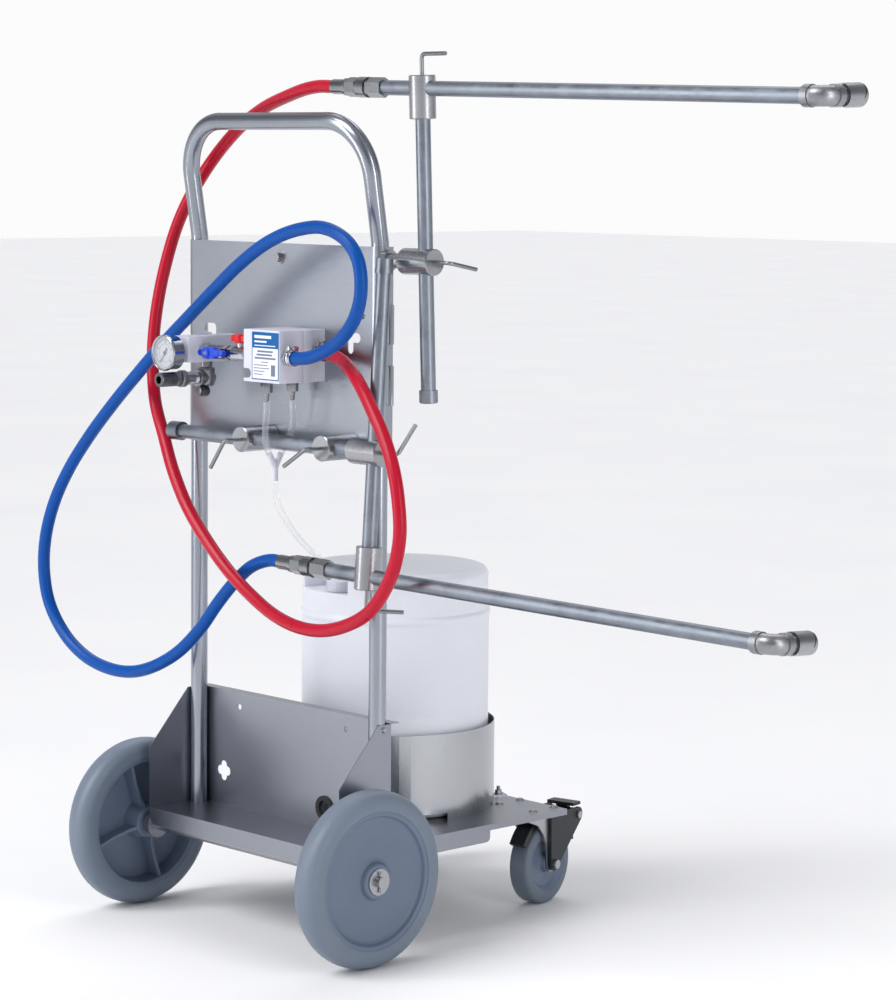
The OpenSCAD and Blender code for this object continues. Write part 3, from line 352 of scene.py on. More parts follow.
def clear(name):
    material, tree, shader = principled(name)
    large = noise_node(tree, coords(tree), 20, 3.0, 0.5)
    shader.inputs["Base Color"].default_value = (0.93, 0.94, 0.96, 1)
    shader.inputs["Transmission Weight"].default_value = 0.75
    shader.inputs["IOR"].default_value = 1.35
    shader.inputs["Alpha"].default_value = 0.30
    tree.links.new(remap(tree, large, 0.18, 0.26), shader.inputs["Roughness"])
    bump(tree, shader, large, 0.05, 0.001)
    return material


MAT["clear"] = clear("clear tube")
MAT["dial"] = plastic("dial face", (0.50, 0.52, 0.58), 0.5, 0.01, 0.03, 500)
MAT["label"] = plastic("label face", (0.80, 0.82, 0.88), 0.35, 0.02, 0.03, 500)
MAT["label_blue"] = plastic("label header", (0.0, 0.115, 0.36), 0.45, 0.04, 0.03, 500, 0.0, 0.0,
                            0.2)
MAT["label_ink"] = plastic("label bars", (0.16, 0.18, 0.26), 0.4, 0.05, 0.03, 500)


def glass(name):
    material, tree, shader = principled(name)
    large = noise_node(tree, coords(tree), 60, 2.0, 0.5)
    shader.inputs["Base Color"].default_value = (0.95, 0.97, 1.0, 1)
    shader.inputs["Alpha"].default_value = 0.14
    tree.links.new(remap(tree, large, 0.02, 0.06), shader.inputs["Roughness"])
    return material


MAT["glass"] = glass("gauge glass")


def dress(obj, material):
    obj.data.materials.clear()
    obj.data.materials.append(MAT[material])
    return obj


def dress_node(node, material):
    obj = NODES[node]
    if not obj.material_slots:
        obj.data.materials.append(MAT[material])
    for slot in obj.material_slots:
        slot.material = MAT[material]


for node, material in {
        "handle_frame": "tube", "base_tray": "sheet", "tray_guard": "sheet",
        "guard_grommet": "rubber", "control_panel": "panel", "frame_fasteners": "turned",
        "crossbar_clamps": "turned", "crossbar": "pipe", "crossbar_cap": "pipe",
        "corner_clamp": "turned", "drop_pipe": "pipe", "drop_pipe_cap": "pipe",
        "lower_arm_clamp": "turned", "lower_arm": "pipe", "lower_coupling": "coupling",
        "lower_elbow": "cast", "lower_nozzle": "turned", "mast_clamp": "turned",
        "mast": "pipe", "mast_cap": "pipe", "upper_arm_clamp": "turned", "upper_arm": "pipe",
        "upper_coupling": "coupling", "upper_elbow": "cast", "upper_nozzle": "turned",
        "crossbar_screw_left": "rod", "crossbar_screw_right": "rod", "corner_screw": "rod",
        "lower_arm_screw": "rod", "mast_screw": "rod", "upper_arm_screw": "rod",
        "wheel_axle": "turned", "right_wheel": "wheel", "left_wheel": "wheel",
        "castor_plates": "zinc", "right_castor_fork": "zinc", "left_castor_fork": "zinc",
        "right_castor_wheel": "castor_tyre", "left_castor_wheel": "castor_tyre",
        "right_castor_cover": "black", "left_castor_cover": "black",
        "right_castor_brake": "black", "left_castor_brake": "black", "drum_ring": "ring",
        "drum": "drum", "drum_cap": "white", "injector_block": "white", "manifold_bar": "white",
        "gauge_case": "bright", "gauge_needle": "black", "ball_valves": "bright",
        "blue_lever": "blue_lever", "red_lever": "red_lever", "inlet_fittings": "dark_steel",
        "hose_barbs": "bright", "y_fitting": "white"}.items():
    dress_node(node, material)


# ---------------------------------------------------------------- hoses
def hose(name, route, parts, radius, material, node,
         sides=28, step=0.006):
    """One smooth hose cut into consecutive pieces; each part is
    (share of the length where it ends, body a, body b, blend start, blend end); blend start and
    blend end are not used."""
    path = smooth_path([at(*p) for p in route], step)
    frames = frames_along(path)
    total = len(path) - 1
    first = 0
    for i, (share, a, b, start, end) in enumerate(parts):
        last = total if i == len(parts) - 1 else round(total * share)
        piece_path = path[first:last + 1]
        piece = tube(f"{name}_{i + 1}" if len(parts) > 1 else name, piece_path, radius, sides,
                     frames[first:last + 1])
        dress(piece, material)
        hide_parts(node)
        if b:
            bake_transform(piece)
        else:
            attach(piece, a)
        first = last


def share_at(route, index):
    """Share of a route's length at one of its points."""
    pts = [Vector(p) for p in route]
    steps = [(b - a).length for a, b in zip(pts, pts[1:])]
    return sum(steps[:index]) / sum(steps)


hose(
    "red_hose", RED_ROUTE,
    [(share_at(RED_ROUTE, 4), "root", None, None, None),
     (share_at(RED_ROUTE, 28), "root", "mast", (232, 0, 0), (-182, 0, 0)),
     (share_at(RED_ROUTE, 35), "mast", "upper_arm_clamp", (-272, 0, 0), (0, 0, 0)),
     (1, "upper_arm_clamp", "upper_arm", (0, 0, 0), (107, 0, 0))],
    HOSE_RADIUS, "red", "red_hose")
hose(
    "blue_hose", BLUE_ROUTE,
    [(share_at(BLUE_ROUTE, 17), "root", None, None, None),
     (share_at(BLUE_ROUTE, 21), "root", "crossbar", (-60, 0, 0), (-295, 0, 0)),
     (share_at(BLUE_ROUTE, 24), "crossbar", "corner_clamp", (0, 0, 768), (0, 0, 600)),
     (share_at(BLUE_ROUTE, 27), "corner_clamp", "drop_pipe", (0, 0, 600), (0, 0, 444)),
     (share_at(BLUE_ROUTE, 34), "drop_pipe", "lower_arm_clamp", (-450, 0, 0), (-103, 0, 0)),
     (1, "lower_arm_clamp", "lower_arm", (-103, 0, 0), (69, 0, 0))],
    HOSE_RADIUS, "blue", "blue_hose")
for name, route, node, part in (
        ("suction_tube_left", LEFT_TUBE_ROUTE, "suction_tubes", (1, "root", None, None, None)),
        ("suction_tube_right", RIGHT_TUBE_ROUTE, "suction_tubes", (1, "root", None, None, None)),
        ("drum_hose", DRUM_TUBE_ROUTE, "drum_tube",
         (1, "root", "drum", (0, 0, 650), (0, 0, 508)))):
    hose(name, route, [part], SUCTION_RADIUS, "clear", node, 20,
         0.003)


# ---------------------------------------------------------------- solid helpers
def local(origin, z, x):
    """Matrix from local millimetres to the row frame, by the z and x directions."""
    z, x = Vector(z).normalized(), Vector(x)
    x = (x - z * x.dot(z)).normalized()
    y = z.cross(x)
    turn = Matrix((x, y, z)).transposed().to_4x4()
    return Matrix.Translation(at(*origin)) @ turn @ Matrix.Scale(0.001, 4)


def finish_piece(obj, body, material, nodes=(), sharp=32, bevel=0.0, segments=2):
    """Rounds the hard edges, sets the shading, and says what the piece rides on."""
    mesh = obj.data
    if bevel:
        bm = bmesh.new()
        bm.from_mesh(mesh)
        hard = [e for e in bm.edges if len(e.link_faces) == 2
                and e.calc_face_angle(0) > math.radians(28)]
        bmesh.ops.bevel(bm, geom=hard, offset=bevel / 1000, segments=segments, profile=0.6,
                        affect="EDGES", clamp_overlap=True)
        bmesh.ops.remove_doubles(bm, verts=bm.verts, dist=1e-6)
        bm.to_mesh(mesh)
        bm.free()
    for polygon in mesh.polygons:
        polygon.use_smooth = True
    mesh.set_sharp_from_angle(angle=math.radians(sharp))
    dress(obj, material)
    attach(obj, body)
    if nodes:
        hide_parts(*nodes)
    return obj


def fillet(points, radius, steps=4):
    """Rounds the corners between the ends of an open outline of (r, z) points."""
    out = [Vector(points[0])]
    for a, b, c in zip(points, points[1:], points[2:]):
        a, b, c = Vector(a), Vector(b), Vector(c)
        reach = min(radius, (a - b).length * 0.45, (c - b).length * 0.45)
        p, q = b + (a - b).normalized() * reach, b + (c - b).normalized() * reach
        for k in range(steps + 1):
            t = k / steps
            out.append(p * (1 - t) ** 2 + b * (2 * t * (1 - t)) + q * t ** 2)
    out.append(Vector(points[-1]))
    return [tuple(p) for p in out]


def lathe(name, profile, matrix, sides=96, closed=False):
    """Solid of revolution about local z; closed joins the profile's ends into a ring."""
    verts, faces, rows = [], [], []
    for r, z in profile:
        if r < 1e-6:
            rows.append([len(verts)])
            verts.append(matrix @ Vector((0, 0, z)))
        else:
            rows.append(list(range(len(verts), len(verts) + sides)))
            for k in range(sides):
                a = 2 * math.pi * k / sides
                verts.append(matrix @ Vector((r * math.cos(a), r * math.sin(a), z)))
    pairs = list(zip(rows, rows[1:]))
    if closed:
        pairs.append((rows[-1], rows[0]))
    for low, high in pairs:
        for k in range(sides):
            n = (k + 1) % sides
            if len(low) == 1 and len(high) == 1:
                break
            if len(low) == 1:
                faces.append((low[0], high[n], high[k]))
            elif len(high) == 1:
                faces.append((low[k], low[n], high[0]))
            else:
                faces.append((low[k], low[n], high[n], high[k]))
    return new_mesh(name, verts, faces)


def prism(name, outline, low, high, matrix):
    """Solid with a flat outline of (x, y), from local z low to high."""
    count = len(outline)
    verts = [matrix @ Vector((x, y, z)) for z in (low, high) for x, y in outline]
    faces = [tuple(reversed(range(count))), tuple(range(count, 2 * count))]
    faces += [(k, (k + 1) % count, (k + 1) % count + count, k + count) for k in range(count)]
    return new_mesh(name, verts, faces)


def join(name, parts):
    """One object from several, keeping their meshes as separate shells."""
    bm = bmesh.new()
    for part in parts:
        bm.from_mesh(part.data)
        mesh = part.data
        bpy.data.objects.remove(part)
        bpy.data.meshes.remove(mesh)
    mesh = bpy.data.meshes.new(name)
    bm.to_mesh(mesh)
    bm.free()
    obj = bpy.data.objects.new(name, mesh)
    bpy.context.scene.collection.objects.link(obj)
    return obj


def rect(x0, y0, x1, y1):
    return [(x0, y0), (x1, y0), (x1, y1), (x0, y1)]


def arc(cx, cy, r, start, end, count):
    return [(cx + r * math.cos(math.radians(start + (end - start) * k / count)),
             cy + r * math.sin(math.radians(start + (end - start) * k / count)))
            for k in range(count + 1)]


def hexagon(across, turn=0):
    r = across / 2
    return [(r * math.cos(math.radians(turn + 60 * k)), r * math.sin(math.radians(turn + 60 * k)))
            for k in range(6)]


# ---------------------------------------------------------------- gauge
GAUGE = local((-98, -52, 856), (0, -1, 0), (1, 0, 0))
case = lathe("gauge_case_shell",
             [(0, 7), (17.5, 7), (23.8, 9.4), (24.7, 10.3), (25, 11.4), (25, 26.6), (25.3, 27.2),
              (26.2, 27.7), (26.5, 28.6), (26.5, 31.4), (26.2, 32.4), (25.5, 33), (24.6, 32.9),
              (23.9, 32.2), (23.6, 31.2), (23.6, 27.5), (0, 27.5)], GAUGE, 128)
stem = lathe("gauge_stem", [(0, -12), (5.95, -12), (5.95, 1), (0, 1)], GAUGE, 48)
nut = prism("gauge_nut", hexagon(20, 30), 0.5, 8.5, GAUGE)
finish_piece(join("gauge_body", [case, stem, nut]), "root", "bright",
             ["gauge_case"])
finish_piece(lathe("gauge_dial", [(0, 27.55), (23.5, 27.55), (23.5, 27.9), (0, 27.9)], GAUGE, 96),
             "root", "dial")
marks = []
DIAL_STEPS, DIAL_START, DIAL_SWEEP = 40, 225, 270
for k in range(DIAL_STEPS + 1):
    a = math.radians(DIAL_START - DIAL_SWEEP * k / DIAL_STEPS)
    inner, half = (14.6, 0.6) if k % 10 == 0 else (16.4, 0.45) if k % 5 == 0 else (18.0, 0.24)
    along, across = Vector((math.cos(a), math.sin(a))), Vector((-math.sin(a), math.cos(a)))
    corners = [along * inner - across * half, along * 20.4 - across * half,
               along * 20.4 + across * half, along * inner + across * half]
    marks.append(prism(f"mark{k}", [tuple(c) for c in corners], 27.92, 28.02, GAUGE))
for r in (13.2, 20.4):
    marks.append(lathe("scale_line", [(r, 27.92), (r + 0.5, 27.92), (r + 0.5, 28.02), (r, 28.02)],
                       GAUGE, 96, True))
finish_piece(join("gauge_marks", marks), "root", "black")
glass_disc = lathe("gauge_glass", [(0, 31.1), (23.5, 30.8), (23.5, 31.4), (16, 31.8), (0, 32)],
                   GAUGE, 96)
finish_piece(glass_disc, "root", "glass")
NEEDLE_REST = 235
aim = math.radians(NEEDLE_REST)
along, across = Vector((math.cos(aim), math.sin(aim))), Vector((-math.sin(aim), math.cos(aim)))
shape = [along * -8 - across * 2.0, along * -2 - across * 1.2, along * 18 - across * 0.4,
         along * 18 + across * 0.4, along * -2 + across * 1.2, along * -8 + across * 2.0]
needle = prism("needle_arm", [tuple(c) for c in shape], 28.2, 28.8, GAUGE)
needle_hub = lathe("needle_hub", [(0, 27.95), (3.2, 27.95), (3.2, 29.2), (2.6, 29.7), (0, 29.7)],
                   GAUGE, 32)
finish_piece(join("gauge_pointer", [needle, needle_hub]), "gauge_needle", "black",
             ["gauge_needle"])

# ---------------------------------------------------------------- inlet fittings
INLET_Z = 817
INLET = local((-98, -2, INLET_Z), (0, -1, 0), (1, 0, 0))
RISER = local((-98, -2, INLET_Z), (0, 0, 1), (1, 0, 0))
upright = fillet([(0, -13), (9, -13), (12.2, -10), (13, -4), (13, 12), (12, 15), (8.9, 15),
                  (8.9, 30), (0, 30)], 1.5)
level_arm = fillet([(0, -13.4), (8, -12.6), (11, -9), (12, -3), (12, 12), (13.2, 12.4), (13.2, 18),
                    (12.4, 18.8), (0, 18.8)], 1.2)
elbow = [lathe("e1", upright, RISER, 64), lathe("e2", level_arm, INLET, 64)]
finish_piece(join("inlet_elbow", elbow), "root", "fitting", ["inlet_fittings"])
thread = [(0, 17), (8.5, 17)]
for k in range(5):
    thread += [(8.5, 18 + k * 1.6), (8.0, 18.8 + k * 1.6)]
thread += [(8.5, 26.5), (10, 27), (10, 41.5), (0, 41.5)]
finish_piece(lathe("inlet_nipple", thread, INLET, 64), "root", "bright",
             ["inlet_fittings"])
collar = fillet([(0, 41.6), (11.4, 41.6), (12.5, 42.6), (12.5, 51), (11.4, 52), (0, 52)], 0.5)
union = [lathe("u1", collar, INLET, 64), prism("u2", hexagon(24), 52.6, 62.6, INLET)]
finish_piece(join("inlet_union", union), "root", "fitting", ["inlet_fittings"],
             bevel=0.5)
pipe = [(5.9, 62.7), (9.6, 62.7), (10.65, 63.4)]
for k in range(9):
    pipe += [(10.65, 66 + k * 2.5), (10.3, 67.2 + k * 2.5)]
pipe += [(10.65, 88.5), (10.1, 89.9), (5.9, 89.9)]
finish_piece(lathe("inlet_pipe", pipe, INLET, 72, True), "root", "dark_steel",
             ["inlet_fittings"])
PLUG = local((-98, -10, INLET_Z - 20), (0, -1, 0), (1, 0, 0))
plug = [lathe("p1", fillet([(0, -9), (7.4, -9), (8, -7), (8, 4), (0, 4)], 1), PLUG, 48),
        prism("p2", hexagon(15), 4.05, 7.5, PLUG)]
finish_piece(join("drain_plug", plug), "root", "dark_steel", ["inlet_fittings"],
             bevel=0.5)

# ---------------------------------------------------------------- hose tails and suction barbs
def hose_tail(name, origin):
    """Hex tail in the block, and the worm clamp round the hose with its screw on top."""
    m = local(origin, (1, 0, 0), (0, 0, 1))
    screw = local(tuple(Vector(origin) + Vector((13.5, 0, 14.4))), (0, -1, 0), (1, 0, 0))
    parts = [lathe("t1", [(0, -11), (6.5, -11), (6.5, 0.4), (0, 0.4)], m, 48),
             prism("t2", hexagon(24, 30), 0.2, 5.9, m),
             lathe("t3", [(9.75, 9.2), (11.6, 9), (11.9, 9.6), (11.2, 10.3), (11, 13.5),
                          (11.2, 16.7), (11.9, 17.4), (11.6, 18), (9.75, 17.8)], m, 72, True),
             prism("t4", [(10.2, -7), (15.5, -7), (17.3, -5.2), (17.3, 4.2), (15.5, 6), (10.2, 6)],
                   9.4, 17.6, m),
             lathe("t5", [(0, -9), (3.1, -9), (3.1, 7.2), (0, 7.2)], screw, 32),
             prism("t6", hexagon(8.4, 0), 7.1, 10.6, screw)]
    finish_piece(join(name, parts), "root", "bright", ["hose_barbs"], bevel=0.35)


def suction_barb(name, y):
    m = local((60, y, 820), (0, 0, -1), (1, 0, 0))
    rib = [(4.1, 17), (4.1, 19), (3.4, 21.5), (3.9, 21.7), (3.2, 24.5), (3.7, 24.7), (3, 28)]
    parts = [lathe("s1", [(0, -9), (4.75, -9), (4.75, 0.4), (0, 0.4)], m, 40),
             prism("s2", hexagon(17.5, 10), 0.2, 15.5, m),
             lathe("s3", [(0, 15.3), (4.1, 15.3)] + rib + [(0, 28)], m, 40)]
    finish_piece(join(name, parts), "root", "coupling", ["hose_barbs"], bevel=0.35)


hose_tail("blue_hose_tail", (101.5, -18, 857))
hose_tail("red_hose_tail", (101.5, 38, 862))
suction_barb("front_suction_barb", -20)
suction_barb("rear_suction_barb", 29)

# ---------------------------------------------------------------- injector block and manifold bar
BLOCK_SIDE = [(22.5, 839), (22.5, 895.5), (101.5, 895.5), (101.5, 820), (22.5, 820), (22.5, 825)]
BLOCK_SIDE += arc(31.5, 832, 7, -90, 90, 14)
BLOCK = local((0, 0, 0), (0, -1, 0), (1, 0, 0))
front = prism("block_front", BLOCK_SIDE, -12.8, 32, BLOCK)
back = prism("block_back", BLOCK_SIDE, -55.3, -13.2, BLOCK)
finish_piece(join("injector_body", [front, back]), "root", "white",
             ["injector_block"], bevel=0.9)
finish_piece(prism("manifold_body", rect(-117, 841.5, -79, 879.5), -55.3, 52, BLOCK), "root",
             "white", ["manifold_bar"], bevel=1.0)
finish_piece(prism("label_plate", rect(41.5, 824, 100.5, 892.5), 32.02, 32.32, BLOCK), "root",
             "label_blue", bevel=0.1)
finish_piece(prism("label_field", rect(43, 825.5, 99, 869.5), 32.33, 32.43, BLOCK), "root",
             "label")
bars = [prism("b", rect(47, 883.4, 84, 887.8), 32.33, 32.42, BLOCK),
        prism("b", rect(47, 877.4, 74, 880), 32.33, 32.42, BLOCK),
        prism("b", rect(47, 872.4, 93, 873.8), 32.33, 32.42, BLOCK)]
finish_piece(join("label_title_bars", bars), "root", "label")
bars = []
for row, (start, end) in enumerate([(54, 88), (52, 86), (48, 94), (62, 78), (46, 76), (46, 80),
                                    (46, 70), (46, 66)]):
    z, tall = (863.5 - row * 4.9, 2.6) if row < 3 else (862 - row * 4.4, 1.2)
    bars.append(prism("b", rect(start, z, end, z + tall), 32.44, 32.5, BLOCK))
bars.append(prism("b", rect(84, 830, 93, 846), 32.44, 32.5, BLOCK))
finish_piece(join("label_text_bars", bars), "root", "label_ink")


# ---------------------------------------------------------------- levers
def lever_outline(reach_left, reach_right, wide, half=8.2, tip=4.4):
    """Two round wings and a wider middle that ends at x = wide."""
    left = arc(reach_left, 0, tip, 90, 270, 10)
    right_end = arc(reach_right, 0, tip, -90, 90, 10)
    low = [(-7.2, -tip), (-4.2, -half), (wide - 3, -half), (wide, -tip)]
    high = [(x, -y) for x, y in reversed(low)]
    return left + low + right_end + high


def lever(name, node, matrix, left, right_end, wide, material):
    blade = prism("blade", lever_outline(left, right_end, wide), 2, 11, matrix)
    boss = lathe("boss", [(0, 0), (8, 0), (8, 12.4), (7.2, 13.4), (3.6, 13.4), (3.4, 12), (0, 12)],
                 matrix, 48)
    wings = [prism("w", [(x, -4), (x + 1.2, -4), (x + 1.2, 4), (x, 4)], 10.8, 11.8, matrix)
             for x in (left + 1, left + 3.4, right_end - 4.6, right_end - 2.2)]
    finish_piece(join(name, [blade, boss] + wings), node, material, [node], bevel=0.5)


def stem_end(name, node, matrix):
    """Turned end of the valve stem, seen in the middle of the lever."""
    end = lathe(name, [(0, 11), (3.1, 11), (3.1, 13), (2.6, 13.6), (0, 13.6)], matrix, 32)
    finish_piece(end, node, "bright")


BLUE_STEM = local((-44, -37.3, 858), (0, -1, 0), (1, 0, 0))
RED_STEM = local((3, -22, 873.3), (0, 0, 1), (1, 0, 0))
stem_end("blue_stem_end", "blue_lever", BLUE_STEM)
stem_end("red_stem_end", "red_lever", RED_STEM)
lever("blue_handle", "blue_lever", BLUE_STEM, -14, 32, 20, "blue_lever")
lever("red_handle", "red_lever", RED_STEM, -14, 14, 7.2, "red_lever")


# ---------------------------------------------------------------- wheels
def wheel(name, node, origin, outward):
    """Wheel centre and tread about the axle, the closed dish to the outside."""
    m = local(origin, outward, (0, 0, 1))
    outer = fillet([(8, 23), (23.5, 23), (25.6, 20.5), (27.4, 14.6), (33, 13.2), (60, 11.8),
                    (86, 12.4), (90.5, 14.4), (92.6, 19.6), (96, 20.4), (99.4, 20)], 2.2)
    inner = fillet([(99.4, -20), (96, -20.4), (93, -19.6), (91.6, -10), (89.5, 7.4), (60, 6.6),
                    (28.5, 6), (25, -12), (23, -24.4), (20, -25), (8, -25)], 2.2)
    body = lathe("centre", outer + inner, m, 128, True)
    ribs = []
    for k in range(4):
        spin = m @ Matrix.Rotation(math.radians(90 * k + 17 * outward[0]), 4, "Z")
        rib = [(20, -22.5), (34, -16), (60, -13.5), (92.5, -15.5), (92.5, 9), (20, 9)]
        lay = spin @ Matrix.Rotation(math.radians(90), 4, "X")
        ribs.append(prism("rib", rib, -2.4, 2.4, lay))
    finish_piece(join(f"{name}_centre", [body] + ribs), node, "wheel", [node])
    half = [(99.2, 20.6), (104, 21.6), (111, 21.9), (116.5, 20.8), (120.6, 18.4), (123.6, 15),
            (125.6, 11), (126.6, 7), (127, 3.4)]
    tread = half + [(126.9, 1.0), (126.9, -1.0)] + [(r, -z) for r, z in reversed(half)]
    finish_piece(lathe(f"{name}_tread", tread, m, 160, True), node, "tyre", [node],
                 sharp=40)


wheel("right_wheel", "right_wheel", (260, 0, 127), (1, 0, 0))
wheel("left_wheel", "left_wheel", (-260, 0, 127), (-1, 0, 0))


# ---------------------------------------------------------------- castors
CASTOR_TURN = 12
POST_Y, TRAIL, CASTOR_AXLE_Z = 419, 38, 62.5


def castor(side, post_x):
    """Wheel centre and tread of a castor that is turned about its post."""
    turn = Matrix.Rotation(math.radians(CASTOR_TURN), 3, "Z")
    place = turn @ Vector((0, TRAIL, CASTOR_AXLE_Z)) + Vector((post_x, POST_Y, 0))
    m = local(tuple(place), tuple(turn @ Vector((1, 0, 0))), (0, 0, 1))
    node = f"{side}_castor_wheel"
    half = fillet([(5.1, 18), (13, 18), (14.6, 10), (20, 8.6), (36, 8.4), (41, 13), (46.4, 15.4)],
                  1.6)
    body = half + [(r, -z) for r, z in reversed(half)]
    finish_piece(lathe(f"{side}_castor_centre", body, m, 96, True), node, "wheel",
                 [node])
    half = [(46.2, 15.6), (50, 16), (57, 16), (59.6, 15.4), (61.4, 13.9), (62.2, 12), (62.5, 9),
            (62.5, 3)]
    tread = half + [(r, -z) for r, z in reversed(half)]
    finish_piece(lathe(f"{side}_castor_tread", tread, m, 112, True), node,
                 "castor_tyre", [node], sharp=40)


castor("right", 159.5)
castor("left", -159.5)


# ---------------------------------------------------------------- drum
FACETS = 20
FACET_LOW, FACET_HIGH = 306, 356


def drum():
    """Blow-moulded drum: ribbed wall, facets above the rib, and a recess for the neck."""
    m = local((0, DRUM_Y, TRAY_Z), (0, 0, 1), (1, 0, 0))
    low = [(0, 0), (128, 0), (134, 0.6), (138.5, 2.6), (141.4, 5.8), (142.6, 9.5), (143, 14),
           (143, 150), (142.7, 153), (142.7, 158), (143, 161), (143, 290)]
    rib = [(143.4, 292.6), (144.6, 294.2), (145.2, 296.5), (145.2, 299.5), (144.6, 301.6),
           (143, 303.4), (142.2, 305), (142.6, 307)]
    wall = [(143, 310 + 5 * k) for k in range(9)]
    top = [(142.6, 354.5), (141.4, 358.6), (139.2, 362.2), (136, 365), (131.5, 366.9),
           (126, 367.6), (118, 367), (60, 365.4), (0, 364)]
    shell = lathe("drum_shell", low + rib + wall + top, m, 200)
    back = m.inverted()
    for vert in shell.data.vertices:
        x, y, z = back @ vert.co
        r = math.hypot(x, y)
        if r > 120 and FACET_LOW < z < FACET_HIGH:
            ease = min(1, (z - FACET_LOW) / 6, (FACET_HIGH - z) / 8)
            part = math.degrees(math.atan2(y, x)) % (360 / FACETS) - 180 / FACETS
            flat = math.cos(math.pi / FACETS) / math.cos(math.radians(part))
            k = 1 + (flat - 1) * ease * 0.8
            vert.co = m @ Vector((x * k, y * k, z))
    cutter = prism("cut", [(-70, -160)] + [(-70, -93)] + arc(-58, -93, 12, 180, 90, 6)[1:]
                   + arc(30, -93, 12, 90, 0, 6) + [(42, -160)], 336, 400, m)
    neck = lathe("neck_hole", [(0, 300), (17, 300), (17, 345), (0, 345)],
                 local((0, CAP_Y, TRAY_Z), (0, 0, 1), (1, 0, 0)), 48)
    for tool in (cutter, neck):
        cut = shell.modifiers.new("cut", "BOOLEAN")
        cut.operation = "DIFFERENCE"
        cut.solver = "EXACT"
        cut.object = tool
        with bpy.context.temp_override(object=shell, active_object=shell):
            bpy.ops.object.modifier_apply(modifier=cut.name)
        mesh = tool.data
        bpy.data.objects.remove(tool)
        bpy.data.meshes.remove(mesh)
    shell.name = "drum_body"
    finish_piece(shell, "drum", "drum", ["drum"], sharp=30)


drum()
lid = local((0, CAP_Y, 492.5), (0, 0, 1), (1, 0, 0))
GRIPS = 36
grips = []
for k in range(GRIPS):
    spin = lid @ Matrix.Rotation(math.radians(360 / GRIPS * k), 4, "Z")
    grips.append(prism("g", [(20.4, -0.7), (21.2, -0.4), (21.2, 0.4), (20.4, 0.7)], 1.5, 15.2,
                       spin))
lid_body = lathe("lid", [(5.1, 0.2), (19.8, 0.2), (20.6, 1), (20.8, 2), (20.8, 15), (20.2, 16.4),
                         (18.8, 17), (5.1, 17)], lid, 96, True)
finish_piece(join("drum_lid", [lid_body] + grips), "drum_cap", "white",
             ["drum_cap"])


# ---------------------------------------------------------------- studio
def floor():
    material, tree, shader = principled("pale floor")
    soft = noise_node(tree, coords(tree), 1.5, 3.0, 0.5)
    tree.links.new(ramp(tree, soft, [(0.3, (0.93, 0.93, 0.94)), (0.7, (0.96, 0.96, 0.96))]),
                   shader.inputs["Base Color"])
    shader.inputs["Roughness"].default_value = 0.9
    shader.inputs["Specular IOR Level"].default_value = 0.1
    half = 30
    corners = [(x, y, 0) for x, y in rect(-half, -half, half, half)]
    obj = new_mesh("floor", corners, [(0, 1, 2, 3)], False)
    obj.location.z = -0.0005
    obj.data.materials.append(material)


def area_light(name, place, target, size, power):
    data = bpy.data.lights.new(name, "AREA")
    data.shape = "RECTANGLE"
    data.size, data.size_y = size
    data.energy = power
    obj = bpy.data.objects.new(name, data)
    bpy.context.scene.collection.objects.link(obj)
    obj.location = place
    aim = Vector(target) - Vector(place)
    obj.rotation_euler = aim.to_track_quat("-Z", "Y").to_euler()


floor()
world = bpy.data.worlds.new("studio")
bpy.context.scene.world = world
world.use_nodes = True
wt = world.node_tree
background = wt.nodes["Background"]
source = wt.nodes.new("ShaderNodeTexCoord")
split = wt.nodes.new("ShaderNodeSeparateXYZ")
wt.links.new(source.outputs["Generated"], split.inputs["Vector"])
height = remap(wt, split.outputs["Z"], 0, 1, 0, 1)
sky = ramp(wt, height, [(0.0, (0.97, 0.97, 0.975)), (0.07, (0.97, 0.97, 0.975)),
                        (0.30, (0.42, 0.42, 0.44)), (1.0, (0.62, 0.62, 0.64))])


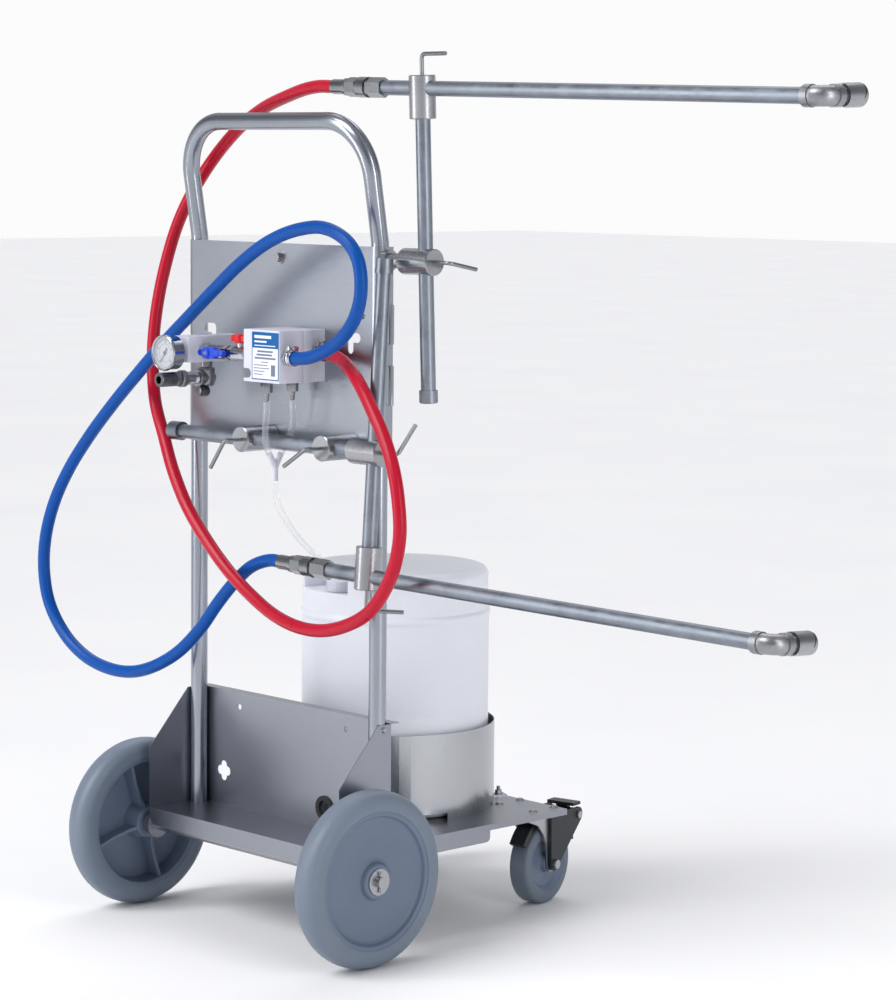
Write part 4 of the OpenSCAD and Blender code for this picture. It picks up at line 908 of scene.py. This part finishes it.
def reach(x, y):
    """How far a direction points along one horizontal direction."""
    node = wt.nodes.new("ShaderNodeVectorMath")
    node.operation = "DOT_PRODUCT"
    node.inputs[1].default_value = (x, y, 0)
    wt.links.new(source.outputs["Generated"], node.inputs[0])
    return node.outputs["Value"]


# Darker and brighter cards round the horizon, which the polished parts reflect
bearing = wt.nodes.new("ShaderNodeMath")
bearing.operation = "ARCTAN2"
wt.links.new(reach(level.x, level.y), bearing.inputs[0])
wt.links.new(reach(-ahead.x, -ahead.y), bearing.inputs[1])
cards = ramp(wt, remap(wt, bearing.outputs["Value"], 0, 1, -math.pi, math.pi),
             [(0.10, (1, 1, 1)), (0.17, (0.42, 0.43, 0.46)), (0.24, (0.55, 0.56, 0.58)),
              (0.33, (1.25, 1.25, 1.26)), (0.42, (0.75, 0.76, 0.78)), (0.50, (0.42, 0.43, 0.46)),
              (0.57, (0.75, 0.76, 0.78)), (0.64, (1.2, 1.2, 1.21)), (0.74, (0.65, 0.66, 0.68)),
              (0.82, (0.38, 0.39, 0.42)), (0.90, (1, 1, 1))])
studio = wt.nodes.new("ShaderNodeMix")
studio.data_type = "RGBA"
studio.blend_type = "MULTIPLY"
studio.inputs["Factor"].default_value = 1.0
wt.links.new(sky, studio.inputs["A"])
wt.links.new(cards, studio.inputs["B"])
wt.links.new(studio.outputs["Result"], background.inputs["Color"])
background.inputs["Strength"].default_value = 1.0


def sun(name, direction, power, angle):
    data = bpy.data.lights.new(name, "SUN")
    data.energy = power
    data.angle = math.radians(angle)
    obj = bpy.data.objects.new(name, data)
    bpy.context.scene.collection.objects.link(obj)
    obj.rotation_euler = (-Vector(direction)).to_track_quat("-Z", "Y").to_euler()


sun("key sun", (-0.25, -0.95, 1.15), 1.4, 30)
sun("back sun", (-0.6, 0.75, 1.3), 0.55, 40)
centre = (-0.2, -0.1, 0.6)
area_light("left strip", (-1.7, -2.6, 1.5), centre, (0.5, 2.4), 26)
area_light("right strip", (2.6, -0.3, 1.4), centre, (0.5, 2.4), 20)
bpy.context.scene.view_settings.view_transform = "Standard"
